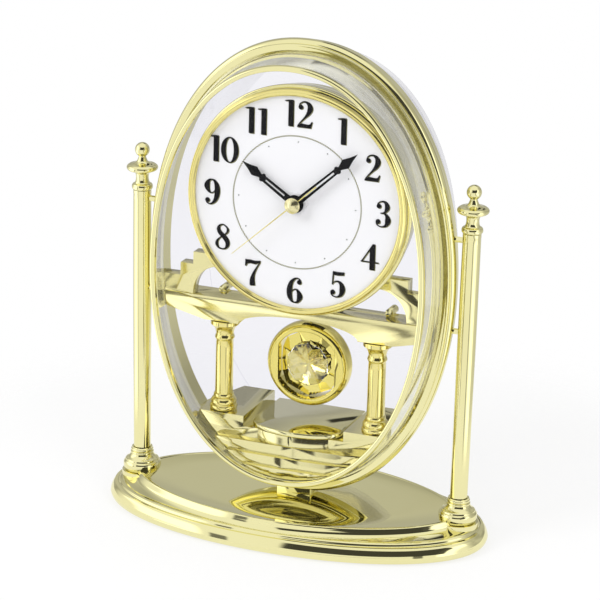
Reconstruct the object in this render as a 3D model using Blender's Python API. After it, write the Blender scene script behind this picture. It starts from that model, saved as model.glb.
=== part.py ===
"""Oval table clock with two posts, a bridge with pillars and a turning pendulum.

Run with: blender --background --python part.py
The clock faces -Y and +Z is up. Its base stands on Z = 0, and the origin lies
under the middle of its whole width and depth.
"""

import math

import bmesh
import bpy
from mathutils import Matrix, Vector

MM = 0.001

# Clearances
SEAT_GAP = 0.3 * MM
RUNNING_GAP = 0.35 * MM
CUT_OVERRUN = 2 * MM
OVERLAP = 0.6 * MM

# Facets: how many sides round things have
OVAL_SIDES = 48
BASE_SIDES = 48
TURNED_SIDES = 16
SMALL_SIDES = 8
DIAL_SIDES = 48
HOOP_SIDES = 32
CRYSTAL_SIDES = 10
KNOB_SIDES = 18
ARC_STEPS = 8

# Dial and its bezel; the dial's radius sets the width of the whole clock
DIAL_RADIUS = 60.4 * MM
DIAL_THICKNESS = 1 * MM
DIAL_FACE_Y = -11.6 * MM
DIAL_BEZEL_OVERHANG = 2.6 * MM
DIAL_BEZEL_LAP = 1.2 * MM
DIAL_BEZEL_DEPTH = 3 * MM
DIAL_BEZEL_EDGE = 0.8 * MM
DIAL_BEZEL_RADIUS = DIAL_RADIUS + DIAL_BEZEL_OVERHANG
DIAL_BEZEL_BORE = DIAL_RADIUS - DIAL_BEZEL_LAP
DIAL_BEZEL_FRONT_Y = DIAL_FACE_Y - DIAL_BEZEL_DEPTH

# Drum behind the dial
DRUM_WALL = 1.6 * MM
DRUM_OVERHANG = 4.1 * MM
DRUM_REAR_OVERHANG = 1.1 * MM
DRUM_SHOULDER = 3.6 * MM
DRUM_DEPTH = 21.6 * MM
DRUM_MOUTH_INSET = 1.9 * MM
DIAL_DRUM_STEP = 1.1 * MM
DIAL_DRUM_RADIUS = DIAL_RADIUS + DRUM_OVERHANG
DIAL_DRUM_REAR_RADIUS = DIAL_RADIUS + DRUM_REAR_OVERHANG
DIAL_DRUM_WIDEST_Y = DIAL_FACE_Y + DRUM_SHOULDER
DIAL_DRUM_REAR_Y = DIAL_FACE_Y + DRUM_DEPTH
DIAL_DRUM_MOUTH = DIAL_RADIUS - DRUM_MOUTH_INSET

# Heights, from the base up through the platform, hoop and bridge to the oval's top
BASE_HEIGHT = 17.6 * MM
OVAL_LIFT = 0.7 * MM
OVAL_FOOT = BASE_HEIGHT + OVAL_LIFT
DECK_RISE = 34.3 * MM
DECK_HEIGHT = OVAL_FOOT + DECK_RISE
DECK_THICKNESS = 16.6 * MM
DECK_UNDERSIDE = DECK_HEIGHT - DECK_THICKNESS
BLOCK_RISE = 6 * MM
BLOCK_HEIGHT = DECK_HEIGHT + BLOCK_RISE
STAGE_THICKNESS = 2.7 * MM
STAGE_HEIGHT = DECK_HEIGHT + SEAT_GAP + STAGE_THICKNESS
TERRACE_DROPS = (5.8 * MM, 11.6 * MM, 17 * MM)
TERRACE_HEIGHTS = [DECK_HEIGHT - drop for drop in TERRACE_DROPS]
HOOP_RADIUS = 24.2 * MM
HOOP_FOOT_ROOM = 7.2 * MM
HOOP_HEAD_ROOM = 7.2 * MM
PENDULUM_HEIGHT = STAGE_HEIGHT + HOOP_FOOT_ROOM + HOOP_RADIUS
BEAM_HEIGHT = 13.6 * MM
BEAM_ARCH_RISE = 7.8 * MM
BEAM_END_RISE = 7.6 * MM
BEAM_ARCH_HEIGHT = PENDULUM_HEIGHT + HOOP_RADIUS + HOOP_HEAD_ROOM
BEAM_FOOT_HEIGHT = BEAM_ARCH_HEIGHT - BEAM_ARCH_RISE
BEAM_END_HEIGHT = BEAM_FOOT_HEIGHT + BEAM_END_RISE
LEDGE_HEIGHT = BEAM_FOOT_HEIGHT + BEAM_HEIGHT
STEP_RISES = (24.2 * MM, 17.2 * MM, 10 * MM)
STEP_HEIGHTS = [LEDGE_HEIGHT + rise for rise in STEP_RISES]
DIAL_LIFT = 1.6 * MM
DIAL_HEIGHT = LEDGE_HEIGHT + DIAL_LIFT + DIAL_RADIUS
OVAL_HEAD_ROOM = 28.1 * MM
FRAME_HALF_HEIGHT = (DIAL_HEIGHT + DIAL_RADIUS + OVAL_HEAD_ROOM - OVAL_FOOT) / 2
OVAL_HEIGHT = OVAL_FOOT + FRAME_HALF_HEIGHT

# The clock body leans back about a line across the base
LEAN = math.radians(3.7)
LEAN_RISE = 2.4 * MM
LEAN_HEIGHT = BASE_HEIGHT + LEAN_RISE
ORIGIN_SHIFT_Y = -2.6 * MM

# Oval frame
OVAL_POWER = 2.1
FRAME_SIDE_ROOM = 28.6 * MM
FRAME_HALF_WIDTH = DIAL_RADIUS + FRAME_SIDE_ROOM
OVAL_STRETCH = FRAME_HALF_HEIGHT - FRAME_HALF_WIDTH
FRAME_DEPTH = 16 * MM
FRAME_FRONT_Y = -8 * MM
FRAME_THICKNESS = 7 * MM
FRAME_OUTER_SHARES = ((0.32, 0), (0.29, 0.07), (0.39, 0.16), (0.07, 0.25), (0, 0.33),
                      (0, 0.47), (0.14, 0.55), (0.31, 1))
FRAME_LIP_SHARE = 0.77
FRAME_LIP_DEPTH = 3 * MM

# Posts, standing in pockets at both ends of the base
COLUMN_LENGTH = 150.4 * MM
COLUMN_RADIUS = 5.05 * MM
COLUMN_SHARES = ((0.95, 0), (0.97, 0.2), (1, 0.6), (1, 1))
POST_GAP = 0.35 * MM
POST_SINK = 3.5 * MM
POST_SPLAY = math.radians(0.56)
POST_X = FRAME_HALF_WIDTH + POST_GAP + COLUMN_RADIUS
POST_FLOOR = BASE_HEIGHT - POST_SINK
FOOT_HEIGHT = 13.5 * MM
FOOT_RADIUS = 10.6 * MM
FOOT_SHARES = ((0.88, 0), (1, 0.22), (1, 0.38), (0.9, 0.49), (0.8, 0.5), (0.68, 0.6),
               (0.54, 0.78), (0.52, 0.86), (0.57, 0.91), (0.55, 1))
DRUM_WIDTH_SHARE = 1.264
DRUM_RADIUS = FOOT_RADIUS * DRUM_WIDTH_SHARE
DRUM_FOOT = 6 * MM
DRUM_SHARES = ((1, 0), (0.92, 0.3), (0.86, 0.5), (0.84, 0.75), (0.84, 1.02))
FINIAL_HEIGHT = 26.5 * MM
FINIAL_RADIUS = 8.7 * MM
FINIAL_SHARES = ((0.62, 0), (0.67, 0.1), (0.45, 0.21), (0.48, 0.34), (0.95, 0.43),
                 (1, 0.49), (0.5, 0.575), (0.25, 0.66), (0.42, 0.75), (0.47, 0.84),
                 (0.38, 0.94), (0, 1))
SPIGOT_RADIUS = 2 * MM
SPIGOT_LENGTH = 5.4 * MM
POST_SCREW_RADIUS = 1.6 * MM
POST_SCREW_REACH = 12 * MM
SCREW_HEAD_RADIUS = 3 * MM
SCREW_HEAD_HEIGHT = 2 * MM
PIN_RADIUS = 1.7 * MM
PIN_DEPTH = 2.5 * MM
PIN_TOP_MARGIN = 4.6 * MM
PIN_SPACING = 51.5 * MM

# Base
BASE_END_MARGIN = 3.2 * MM
BASE_HALF_LENGTH = POST_X + DRUM_RADIUS + BASE_END_MARGIN
BASE_HALF_DEPTH = 52 * MM
BASE_MIDDLE_Y = -1.5 * MM
BASE_WALL = 2.2 * MM
BASE_POWER = 2.05
RIM_HEIGHT = 10 * MM
RIM_INSET = 2.6 * MM
RIM_SHARES = ((0.08, 0.96), (0.25, 0.19), (0.5, 0), (0.8, 0.31), (1, 1))
STEP_INSET = 6 * MM
STEP_RISE = 0.4 * MM
TOP_LENGTH_INSET = 17 * MM
TOP_DEPTH_INSET = 8 * MM
TOP_HALF_LENGTH = BASE_HALF_LENGTH - TOP_LENGTH_INSET
TOP_HALF_DEPTH = BASE_HALF_DEPTH - TOP_DEPTH_INSET
TOP_POWER = 1.8
RIDGE_SHARES = ((0.45, 0.3), (0.85, 0.52), (0.93, 0.86), (1.06, 1), (1.2, 0.96))
CEILING_SHARE = 0.68
BASE_COVER_THICKNESS = 1.6 * MM
PAD_RADIUS = 6 * MM
PAD_HEIGHT = 2.4 * MM
PAD_END_INSET = 51 * MM
PAD_SIDE_INSET = 32 * MM
PAD_X = BASE_HALF_LENGTH - PAD_END_INSET
PAD_Y = BASE_HALF_DEPTH - PAD_SIDE_INSET
PAD_BOSS_WALL = 2 * MM

# Tongue under the oval and the slot that holds it in the base
TONGUE_HALF_LENGTH = 10 * MM
TONGUE_HALF_DEPTH = 6 * MM
TONGUE_ROOT_INSET = 1.3 * MM
TONGUE_LIFT = 0.7 * MM
SLOT_DEPTH = 4.9 * MM
SLOT_FLOOR = BASE_HEIGHT - SLOT_DEPTH
TONGUE_FOOT = SLOT_FLOOR + TONGUE_LIFT
TONGUE_TOP = OVAL_FOOT + FRAME_THICKNESS - TONGUE_ROOT_INSET
SLOT_GAP = 0.9 * MM
SADDLE_WALL = 4 * MM

# Hands, drawn pointing at twelve and then turned clockwise
HAND_THICKNESS = 0.5 * MM
HOUR_HAND_LENGTH = 36.8 * MM
HOUR_HAND_HALF_WIDTH = 3.3 * MM
HOUR_HAND_BOSS = 4.6 * MM
HOUR_HAND_LIFT = 3 * MM
HOUR_HAND_Y = DIAL_FACE_Y - HOUR_HAND_LIFT
HOUR_HAND_TURN = math.radians(-56.5)
HOUR_HAND_SHARES = ((0.16, 0.4), (0.6, 0.48), (0.61, 0.72), (0.64, 0.72), (0.655, 0.3),
                    (0.72, 1), (0.79, 0.45), (1, 0))
HOUR_SLOT_SHARES = ((0.22, 0.17), (0.575, 0.2))
MINUTE_HAND_LENGTH = 48.4 * MM
MINUTE_HAND_HALF_WIDTH = 3.1 * MM
MINUTE_HAND_BOSS = 3.8 * MM
MINUTE_HAND_LIFT = 1.5 * MM
MINUTE_HAND_Y = HOUR_HAND_Y - MINUTE_HAND_LIFT
MINUTE_HAND_TURN = math.radians(47.8)
MINUTE_HAND_SHARES = ((0.12, 0.4), (0.66, 0.5), (0.67, 0.75), (0.69, 0.75), (0.705, 0.3),
                      (0.77, 1), (0.84, 0.45), (1, 0))
MINUTE_SLOT_SHARES = ((0.17, 0.17), (0.63, 0.2))
SECOND_HAND_LENGTH = 47 * MM
SECOND_TAIL_LENGTH = 18 * MM
SECOND_HAND_HALF_WIDTH = 0.35 * MM
SECOND_HUB_RADIUS = 2.2 * MM
SECOND_HAND_LIFT = 1.6 * MM
SECOND_HAND_Y = MINUTE_HAND_Y - SECOND_HAND_LIFT
SECOND_HAND_TURN = math.radians(227.7)
CAP_RADIUS = 4.4 * MM
CAP_HEIGHT = 2.5 * MM
CAP_BORE_DEPTH = 0.8 * MM
CAP_SHARES = ((0.8, 0), (1, 0.14), (0.93, 0.3), (0.3, 0.92), (0, 1))

# Clear front cover and its gold bezel
COVER_LIP_WIDTH = 1.41 * MM
COVER_HALF_WIDTH = FRAME_HALF_WIDTH - FRAME_THICKNESS * FRAME_LIP_SHARE - COVER_LIP_WIDTH
COVER_ROOM = 7.7 * MM
COVER_FRONT_Y = SECOND_HAND_Y - COVER_ROOM
COVER_TAPER = 3.9 * MM
COVER_WALL = 1.6 * MM
COVER_LIP = 2.1 * MM
BEZEL_OVERHANG = 1.1 * MM
BEZEL_HALF_WIDTH = COVER_HALF_WIDTH - COVER_TAPER + BEZEL_OVERHANG
BEZEL_WIDTH = 3.2 * MM
BEZEL_DEPTH = 2.4 * MM
BEZEL_SHARES = ((0, 0), (0.05, 0.55), (0.3, 1), (0.72, 1), (1, 0.7), (1, 0))

# Turning pendulum and its drive, hung behind the drum
MOTOR_WALL = 1.4 * MM
MOTOR_BEARING_RADIUS = 2.7 * MM
MOTOR_BEARING_LENGTH = 3.6 * MM
MOTOR_BEARING_GAP = 0.2 * MM
PENDULUM_Y = DIAL_DRUM_REAR_Y + SEAT_GAP + MOTOR_WALL + MOTOR_BEARING_GAP + MOTOR_BEARING_RADIUS
HOOP_DEPTH = 12.4 * MM
HOOP_RIM = 4.8 * MM
HOOP_SIDE = 7.6 * MM
HOOP_OPENING = HOOP_RADIUS - HOOP_RIM
HOOP_OPENING_HALF_WIDTH = HOOP_RADIUS - HOOP_SIDE
HOOP_SHARES = ((0.88, 0.5), (0.96, 0.4), (1, 0.2), (1, -0.2), (0.96, -0.4), (0.88, -0.5))
SPINDLE_RADIUS = 1.2 * MM
SPINDLE_GRIP = 3.1 * MM
COLLAR_RADIUS = 2.6 * MM
COLLAR_HEIGHT = 1.7 * MM
DRIVE_MAGNET_RADIUS = 2.5 * MM
DRIVE_MAGNET_HEIGHT = 8 * MM
DRIVE_MAGNET_RISE = 7 * MM
SPINDLE_TOP_DEPTH = 2 * MM
PETAL_THICKNESS = 1.6 * MM
PETAL_INNER_SHARE = 0.55
PETAL_COUNT = 8
CRYSTAL_RADIUS = 9 * MM
CRYSTAL_HEIGHT = 4.8 * MM
CRYSTAL_SHARES = ((0, 0), (0.9, 0), (1, 0.25), (0.72, 0.78), (0.36, 1), (0, 1))
MOTOR_HALF_WIDTH = 13 * MM
MOTOR_LIFT = 1.4 * MM
MOTOR_HEIGHT = 23.4 * MM
MOTOR_BOTTOM = LEDGE_HEIGHT + MOTOR_LIFT
MOTOR_TOP = MOTOR_BOTTOM + MOTOR_HEIGHT
DRIVE_COIL_RADIUS = 4 * MM
DRIVE_COIL_LENGTH = 14 * MM
DRIVE_CORE_RADIUS = 1.5 * MM
DRIVE_COIL_GAP = 1.2 * MM
DRIVE_COIL_Y = PENDULUM_Y + MOTOR_BEARING_RADIUS + DRIVE_COIL_GAP + DRIVE_COIL_RADIUS
MOTOR_REAR_ROOM = 4.5 * MM
MOTOR_REAR_Y = DRIVE_COIL_Y + DRIVE_COIL_RADIUS + MOTOR_REAR_ROOM

# Clear rear cover and its door
REAR_INSET = 2.8 * MM
REAR_HALF_WIDTH = FRAME_HALF_WIDTH - REAR_INSET
REAR_ROOM = 4.5 * MM
REAR_FRONT_Y = FRAME_FRONT_Y + FRAME_DEPTH + SEAT_GAP
REAR_BACK_Y = PENDULUM_Y + HOOP_RADIUS + REAR_ROOM
REAR_TAPER = 11.5 * MM
REAR_WALL = 1.6 * MM
DOOR_RADIUS = 40 * MM
DOOR_THICKNESS = 1.6 * MM
HINGE_RADIUS = 1.5 * MM
HINGE_PIN_RADIUS = 0.8 * MM
HINGE_HALF_LENGTH = 6 * MM
HINGE_LUG_LENGTH = 3.2 * MM
HINGE_REACH = 3.8 * MM
HINGE_LUG_WALL = 1.5 * MM
HINGE_ARM_LAP = 6 * MM
HINGE_X = -DOOR_RADIUS - HINGE_REACH
HINGE_Y = REAR_BACK_Y + HINGE_RADIUS + SEAT_GAP

# Pillars, platform and stage
PILLAR_X = 45 * MM
PILLAR_Y = -0.5 * MM
PILLAR_RADIUS = 8 * MM
PILLAR_SHARES = ((0.93, 0), (0.93, 0.04), (0.85, 0.055), (0.88, 0.1), (0.68, 0.145),
                 (0.63, 0.18), (0.61, 0.8), (0.7, 0.81), (0.64, 0.86), (1, 0.965), (1, 1))
BLOCK_REACH = 15.4 * MM
BLOCK_INNER = PILLAR_X - BLOCK_REACH
BLOCK_FRONT_MARGIN = 0.5 * MM
BLOCK_FRONT_Y = PILLAR_Y - PILLAR_RADIUS - BLOCK_FRONT_MARGIN
DECK_REAR_ROOM = 5.3 * MM
DECK_REAR_Y = REAR_BACK_Y - DECK_REAR_ROOM
STAGE_SIDE_ROOM = 3.6 * MM
STAGE_HALF_WIDTH = BLOCK_INNER - STAGE_SIDE_ROOM
STAGE_FRONT_Y = -15 * MM
STAGE_SHOULDER_Y = -2 * MM
PLINTH_INSET = 0.6 * MM
TERRACE_FRONTS = (-10.5 * MM, -13.6 * MM, -16.6 * MM)
TERRACE_BULGE = 5 * MM
TERRACE_REAR_Y = 20 * MM

# Bridge behind the dial
BRIDGE_FRONT_Y = -6 * MM
BRIDGE_DEPTH = 16.4 * MM
PIER_DEPTH = 7.4 * MM
PIER_SETBACK = 0.8 * MM
HAUNCH_INNER_REACH = 10 * MM
HAUNCH_OUTER_REACH = 10.5 * MM
HAUNCH_INNER = PILLAR_X - HAUNCH_INNER_REACH
HAUNCH_OUTER = PILLAR_X + HAUNCH_OUTER_REACH
ARCH_OFFSET = 1 * MM
ARCH_RADIUS = 16.5 * MM
ARCH_LIFT = 1.1 * MM
ARCH_CUT = 6 * MM
ARCH_MIDDLE = PILLAR_X + ARCH_OFFSET
ARCH_SPRING = LEDGE_HEIGHT + ARCH_LIFT
ARCH_INNER = ARCH_MIDDLE - ARCH_CUT
STEP_REACHES = (0.2 * MM, 7.8 * MM)
STEP_EDGES = [ARCH_MIDDLE + ARCH_RADIUS + reach for reach in STEP_REACHES]
PEG_OFFSET = 3 * MM
PEG_LIFT = 1.4 * MM
PEG_X = ARCH_MIDDLE + PEG_OFFSET
PEG_HEIGHT = LEDGE_HEIGHT + PEG_LIFT
PEG_RADIUS = 2.3 * MM
PEG_FRONT_Y = 4.9 * MM
PEG_REAR_Y = 14 * MM

# Tubes and arbors on the dial's axis, each round the one inside it
CASE_WALL = 1.2 * MM
ARBOR_RADIUS = 0.6 * MM
ROTOR_ARBOR_RADIUS = 0.5 * MM
MOTION_ARBOR_RADIUS = 0.8 * MM
MINUTE_TUBE_WALL = 0.55 * MM
HOUR_TUBE_WALL = 0.6 * MM
MINUTE_TUBE_RADIUS = ARBOR_RADIUS + RUNNING_GAP + MINUTE_TUBE_WALL
HOUR_TUBE_RADIUS = MINUTE_TUBE_RADIUS + RUNNING_GAP + HOUR_TUBE_WALL
BUSH_RADIUS = HOUR_TUBE_RADIUS + RUNNING_GAP + CASE_WALL
BUSH_REACH = 2.4 * MM
BUSH_FRONT_Y = DIAL_FACE_Y - BUSH_REACH
NUT_WALL = 2.6 * MM
NUT_RADIUS = BUSH_RADIUS + NUT_WALL
NUT_THICKNESS = 1.6 * MM

# Wheels: teeth, modules and layers, each layer named by how far in front of
# the body's middle plane its rear face lies
TOOTH_ROOT_SHARE = 1.1
TOOTH_TIP_SHARE = 0.9
TOOTH_FOOT_WIDTH_SHARE = 0.62
TOOTH_TIP_WIDTH_SHARE = 0.2
WHEEL_THICKNESS = 0.8 * MM
MOTION_LAYER_GAP = 0.6 * MM
LAYER_GAP = 0.8 * MM
CASE_FRONT = -DIAL_FACE_Y - DIAL_THICKNESS - SEAT_GAP
HOUR_LAYER = CASE_FRONT - CASE_WALL - SEAT_GAP - WHEEL_THICKNESS
MOTION_LAYER = HOUR_LAYER - MOTION_LAYER_GAP - WHEEL_THICKNESS
CENTRE_LAYER = MOTION_LAYER - LAYER_GAP - WHEEL_THICKNESS
THIRD_LAYER = CENTRE_LAYER - LAYER_GAP - WHEEL_THICKNESS
SECONDS_LAYER = THIRD_LAYER - LAYER_GAP - WHEEL_THICKNESS
DRIVE_LAYER = SECONDS_LAYER - LAYER_GAP - WHEEL_THICKNESS
MOTION_MODULE = 0.6 * MM
CENTRE_MODULE = 0.45 * MM
SECONDS_MODULE = 0.48 * MM
DRIVE_MODULE = 0.53 * MM
PINION_LEAVES = 6
HOUR_TEETH = 32
MOTION_PINION_TEETH = 8
MOTION_TEETH = 30
CANNON_TEETH = 10
CENTRE_TEETH = 48
THIRD_TEETH = 45
SECONDS_TEETH = 36
DRIVE_TEETH = 30
HOUR_MODULE = MOTION_MODULE * (CANNON_TEETH + MOTION_TEETH) / (HOUR_TEETH + MOTION_PINION_TEETH)
THIRD_MODULE = CENTRE_MODULE * (CENTRE_TEETH + PINION_LEAVES) / (THIRD_TEETH + PINION_LEAVES)
THIRD_DIRECTION = math.radians(35)
MOTION_DIRECTION = math.radians(150)
DRIVE_DIRECTION = math.radians(90)
ROTOR_DIRECTION = math.radians(168)
ROTOR_RADIUS = 2.6 * MM
ROTOR_THICKNESS = 2 * MM
ROTOR_DROP = 0.4 * MM
BEARING_RADIUS = 1.6 * MM
BEARING_LENGTH = 1.8 * MM
KNOB_RADIUS = 5.2 * MM
KNOB_HEIGHT = 4 * MM
KNOB_BORE_DEPTH = 2.7 * MM

# Stepping motor, above the rotor
DRIVE_RISE = SECONDS_MODULE * (SECONDS_TEETH + PINION_LEAVES) / 2
ROTOR_RISE = (DRIVE_RISE + DRIVE_MODULE * (DRIVE_TEETH + PINION_LEAVES) / 2
              * math.sin(ROTOR_DIRECTION))
STATOR_THICKNESS = 1 * MM
STATOR_LIMB = 2.6 * MM
STATOR_LEFT = 24 * MM
STATOR_RIGHT = 2 * MM
STATOR_RING_RADIUS = 4.4 * MM
COIL_RADIUS = 2.6 * MM
COIL_LENGTH = 12 * MM
COIL_X = 13 * MM
COIL_GAP = 0.74 * MM
STATOR_TOP = ROTOR_RISE + STATOR_RING_RADIUS + COIL_GAP + COIL_RADIUS + STATOR_LIMB / 2

# Battery, and the movement's case round it and the wheels
BATTERY_RADIUS = 7.1 * MM
BATTERY_LENGTH = 50 * MM
BATTERY_NUB_RADIUS = 2.7 * MM
BATTERY_NUB_LENGTH = 1.2 * MM
BATTERY_ROOM = 0.9 * MM
BATTERY_FRONT_GAP = 0.5 * MM
BATTERY_Y = BATTERY_RADIUS + BATTERY_FRONT_GAP + CASE_WALL - CASE_FRONT
WHEEL_MARGIN = 3.6 * MM
WHEEL_ROOM = CENTRE_MODULE * CENTRE_TEETH / 2 + WHEEL_MARGIN
BATTERY_DROP = WHEEL_ROOM + BATTERY_ROOM + BATTERY_RADIUS
CONTACT_THICKNESS = 0.6 * MM
CONTACT_HALF_HEIGHT = 4 * MM
CONTACT_HALF_DEPTH = 4.5 * MM
CONTACT_BUTTON_RADIUS = 2.2 * MM
CONTACT_ROOM = 4 * MM
CASE_FOOT_WALL = 1.6 * MM
CASE_HEAD_ROOM = 2.9 * MM
CASE_DEPTH_ROOM = 1 * MM
CASE_HALF_WIDTH = BATTERY_LENGTH / 2 + CONTACT_ROOM
CASE_TOP = STATOR_TOP + CASE_HEAD_ROOM
CASE_BOTTOM = BATTERY_DROP + BATTERY_RADIUS + BATTERY_ROOM + CASE_FOOT_WALL
CASE_DEPTH = BATTERY_RADIUS + BATTERY_RADIUS + CASE_DEPTH_ROOM
LID_THICKNESS = 1.2 * MM
WINDOW_MARGIN = 1.3 * MM
BOSS_RADIUS = 1.4 * MM
BOARD_THICKNESS = 1 * MM
BOARD_SIDE_ROOM = 2 * MM
BOARD_HEAD_ROOM = 4 * MM
BOARD_FOOT_ROOM = 3.4 * MM
BOARD_REAR_ROOM = 0.1 * MM
BOARD_GAP = 0.45 * MM
BOARD_MARGIN = 2 * MM
BOARD_RIGHT = CASE_HALF_WIDTH - BOARD_SIDE_ROOM
BOARD_TOP = CASE_TOP - BOARD_HEAD_ROOM
BOARD_BOTTOM = WHEEL_ROOM - BOARD_FOOT_ROOM
BOARD_REAR_Y = CASE_DEPTH - CASE_FRONT - BOARD_REAR_ROOM

SHARP_ANGLE = math.radians(35)
MERGE_DISTANCE = 0.001 * MM


def clear_scene():
    for item in list(bpy.data.objects):
        bpy.data.objects.remove(item, do_unlink=True)


def make_finish(name, colour, roughness, metallic):
    finish = bpy.data.materials.new(name)
    finish.use_nodes = True
    shader = finish.node_tree.nodes["Principled BSDF"]
    shader.inputs["Base Color"].default_value = (*colour, 1)
    shader.inputs["Roughness"].default_value = roughness
    shader.inputs["Metallic"].default_value = metallic
    finish.diffuse_color = (*colour, 1)
    return finish


clear_scene()
GOLD = make_finish("pale_gold_plating", (0.83, 0.78, 0.45), 0.12, 1)
RICH_GOLD = make_finish("rich_gold_plating", (0.85, 0.7, 0.22), 0.12, 1)
CLEAR = make_finish("clear_plastic", (0.85, 0.86, 0.9), 0.05, 0)
WHITE = make_finish("white_dial", (0.93, 0.93, 0.93), 0.4, 0)
BLACK = make_finish("black_enamel", (0.02, 0.02, 0.02), 0.35, 0)
DARK_PLASTIC = make_finish("dark_plastic", (0.06, 0.06, 0.07), 0.5, 0)
WHITE_PLASTIC = make_finish("white_plastic", (0.8, 0.8, 0.78), 0.5, 0)
STEEL = make_finish("steel", (0.6, 0.6, 0.62), 0.3, 1)
BRASS = make_finish("brass", (0.75, 0.6, 0.28), 0.3, 1)
COPPER = make_finish("copper_wire", (0.7, 0.35, 0.18), 0.35, 1)
RUBBER = make_finish("grey_rubber", (0.1, 0.1, 0.1), 0.8, 0)
CRYSTAL = make_finish("crystal", (0.9, 0.9, 0.95), 0.03, 0)
GREEN_BOARD = make_finish("circuit_board", (0.05, 0.25, 0.12), 0.5, 0)


# Empties that carry the whole clock, its leaning body and the posts
def make_empty(name, location, rotation=(0, 0, 0), parent=None):
    empty = bpy.data.objects.new(name, None)
    bpy.context.scene.collection.objects.link(empty)
    empty.location = location
    empty.rotation_euler = rotation
    empty.parent = parent
    return empty


LEAN_TURN = Matrix.Rotation(-LEAN, 3, "X")
LEAN_PIVOT = Vector((0, 0, LEAN_HEIGHT))
FACE_TURN = (math.radians(90), 0, 0)
ALONG_X = (0, math.radians(90), 0)
STAND = make_empty("stand", (0, ORIGIN_SHIFT_Y, 0))
BODY = make_empty("clock_body", LEAN_PIVOT - LEAN_TURN @ LEAN_PIVOT, (-LEAN, 0, 0), STAND)


# Tools that make solids
def make_object(name, shape, finish, smooth=True):
    bmesh.ops.remove_doubles(shape, verts=shape.verts, dist=MERGE_DISTANCE)
    bmesh.ops.recalc_face_normals(shape, faces=shape.faces)
    mesh = bpy.data.meshes.new(name)
    shape.to_mesh(mesh)
    shape.free()
    if smooth:
        mesh.shade_smooth()
        mesh.set_sharp_from_angle(angle=SHARP_ANGLE)
    mesh.materials.append(finish)
    item = bpy.data.objects.new(name, mesh)
    bpy.context.scene.collection.objects.link(item)
    item.parent = BODY
    return item


def loft(name, loops, finish, closed=False):
    """Skin a row of equal loops. Open rows are capped and closed ones join up."""
    shape = bmesh.new()
    rings = [[shape.verts.new(point) for point in loop] for loop in loops]
    pairs = list(zip(rings, rings[1:]))
    if closed:
        pairs.append((rings[-1], rings[0]))
    else:
        shape.faces.new(rings[0])
        shape.faces.new(rings[-1])
    for here, there in pairs:
        for side, corner in enumerate(here):
            after = (side + 1) % len(here)
            shape.faces.new((corner, here[after], there[after], there[side]))
    return make_object(name, shape, finish)


def turned(name, profile, finish, sides=TURNED_SIDES, bored=False):
    """Spin a profile of (radius, height) about the local Z axis."""
    shape = bmesh.new()
    points = [shape.verts.new((radius, 0, height)) for radius, height in profile]
    edges = [shape.edges.new(pair) for pair in zip(points, points[1:])]
    if bored:
        edges.append(shape.edges.new((points[-1], points[0])))
    bmesh.ops.spin(shape, geom=points + edges, cent=(0, 0, 0), axis=(0, 0, 1),
                   angle=math.tau, steps=sides, use_merge=True)
    bmesh.ops.remove_doubles(shape, verts=shape.verts, dist=MERGE_DISTANCE)
    flat_ends = [end[1] for end, beside in (profile[:2], profile[:-3:-1]) if end[1] == beside[1]]
    middles = [point for point in shape.verts if point.co.xy.length < MERGE_DISTANCE
               and any(abs(point.co.z - height) < MERGE_DISTANCE for height in flat_ends)]
    bmesh.ops.dissolve_verts(shape, verts=middles)
    return make_object(name, shape, finish)


def prism(name, outlines, start, depth, finish, smooth=False):
    """Fill a flat outline, with any later ones as holes, and raise it along +Z."""
    shape = bmesh.new()
    edges = []
    for outline in outlines:
        points = [shape.verts.new((x, y, start)) for x, y in outline]
        edges += [shape.edges.new(pair) for pair in zip(points, points[1:] + points[:1])]
    bmesh.ops.triangle_fill(shape, edges=edges, use_beauty=True, normal=(0, 0, 1))
    raised = bmesh.ops.extrude_face_region(shape, geom=list(shape.faces))["geom"]
    tops = [part for part in raised if isinstance(part, bmesh.types.BMVert)]
    bmesh.ops.translate(shape, verts=tops, vec=(0, 0, depth))
    return make_object(name, shape, finish, smooth)


def cylinder(name, radius, start, end, finish=STEEL, sides=SMALL_SIDES):
    return turned(name, [(0, start), (radius, start), (radius, end), (0, end)], finish, sides)


def block(name, low, high, finish=STEEL):
    """Box between two corners."""
    shape = bmesh.new()
    bmesh.ops.create_cube(shape, size=1)
    low, high = Vector(low), Vector(high)
    middle, size = (low + high) / 2, high - low
    for corner in shape.verts:
        corner.co = [mid + part * length for mid, part, length in zip(middle, corner.co, size)]
    return make_object(name, shape, finish, smooth=False)


def boolean(item, others, kind):
    """Change a piece by others, which stay only as hidden guides."""
    for other in others:
        change = item.modifiers.new(other.name, "BOOLEAN")
        change.operation = kind
        change.solver = "EXACT"
        change.object = other
        other.hide_render = True
        other.display_type = "WIRE"
    return item


def cut(item, *others):
    return boolean(item, others, "DIFFERENCE")


def join(item, *others):
    return boolean(item, others, "UNION")


def trim(item, *others):
    return boolean(item, others, "INTERSECT")


def place(item, location=(0, 0, 0), rotation=(0, 0, 0), parent=BODY):
    item.location = location
    item.rotation_euler = rotation
    item.parent = parent
    return item


def on_dial(item, across=0, up=0):
    """Turn a piece drawn in the plane of the dial, with +Z forward, upright."""
    return place(item, (across, 0, DIAL_HEIGHT + up), FACE_TURN)


def upright(item, y=0):
    """Stand a front view drawn in (x, height) up, its thickness running forward."""
    return place(item, (0, y, 0), FACE_TURN)


# Outlines
def superellipse(half_width, half_height, power, sides):
    points = []
    for side in range(sides):
        angle = math.tau * side / sides
        across, up = math.cos(angle), math.sin(angle)
        points.append((half_width * math.copysign(abs(across) ** (2 / power), across),
                       half_height * math.copysign(abs(up) ** (2 / power), up)))
    return points


def oval(half_width, y):
    points = superellipse(half_width, half_width + OVAL_STRETCH, OVAL_POWER, OVAL_SIDES)
    return [(x, y, OVAL_HEIGHT + z) for x, z in points]


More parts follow.
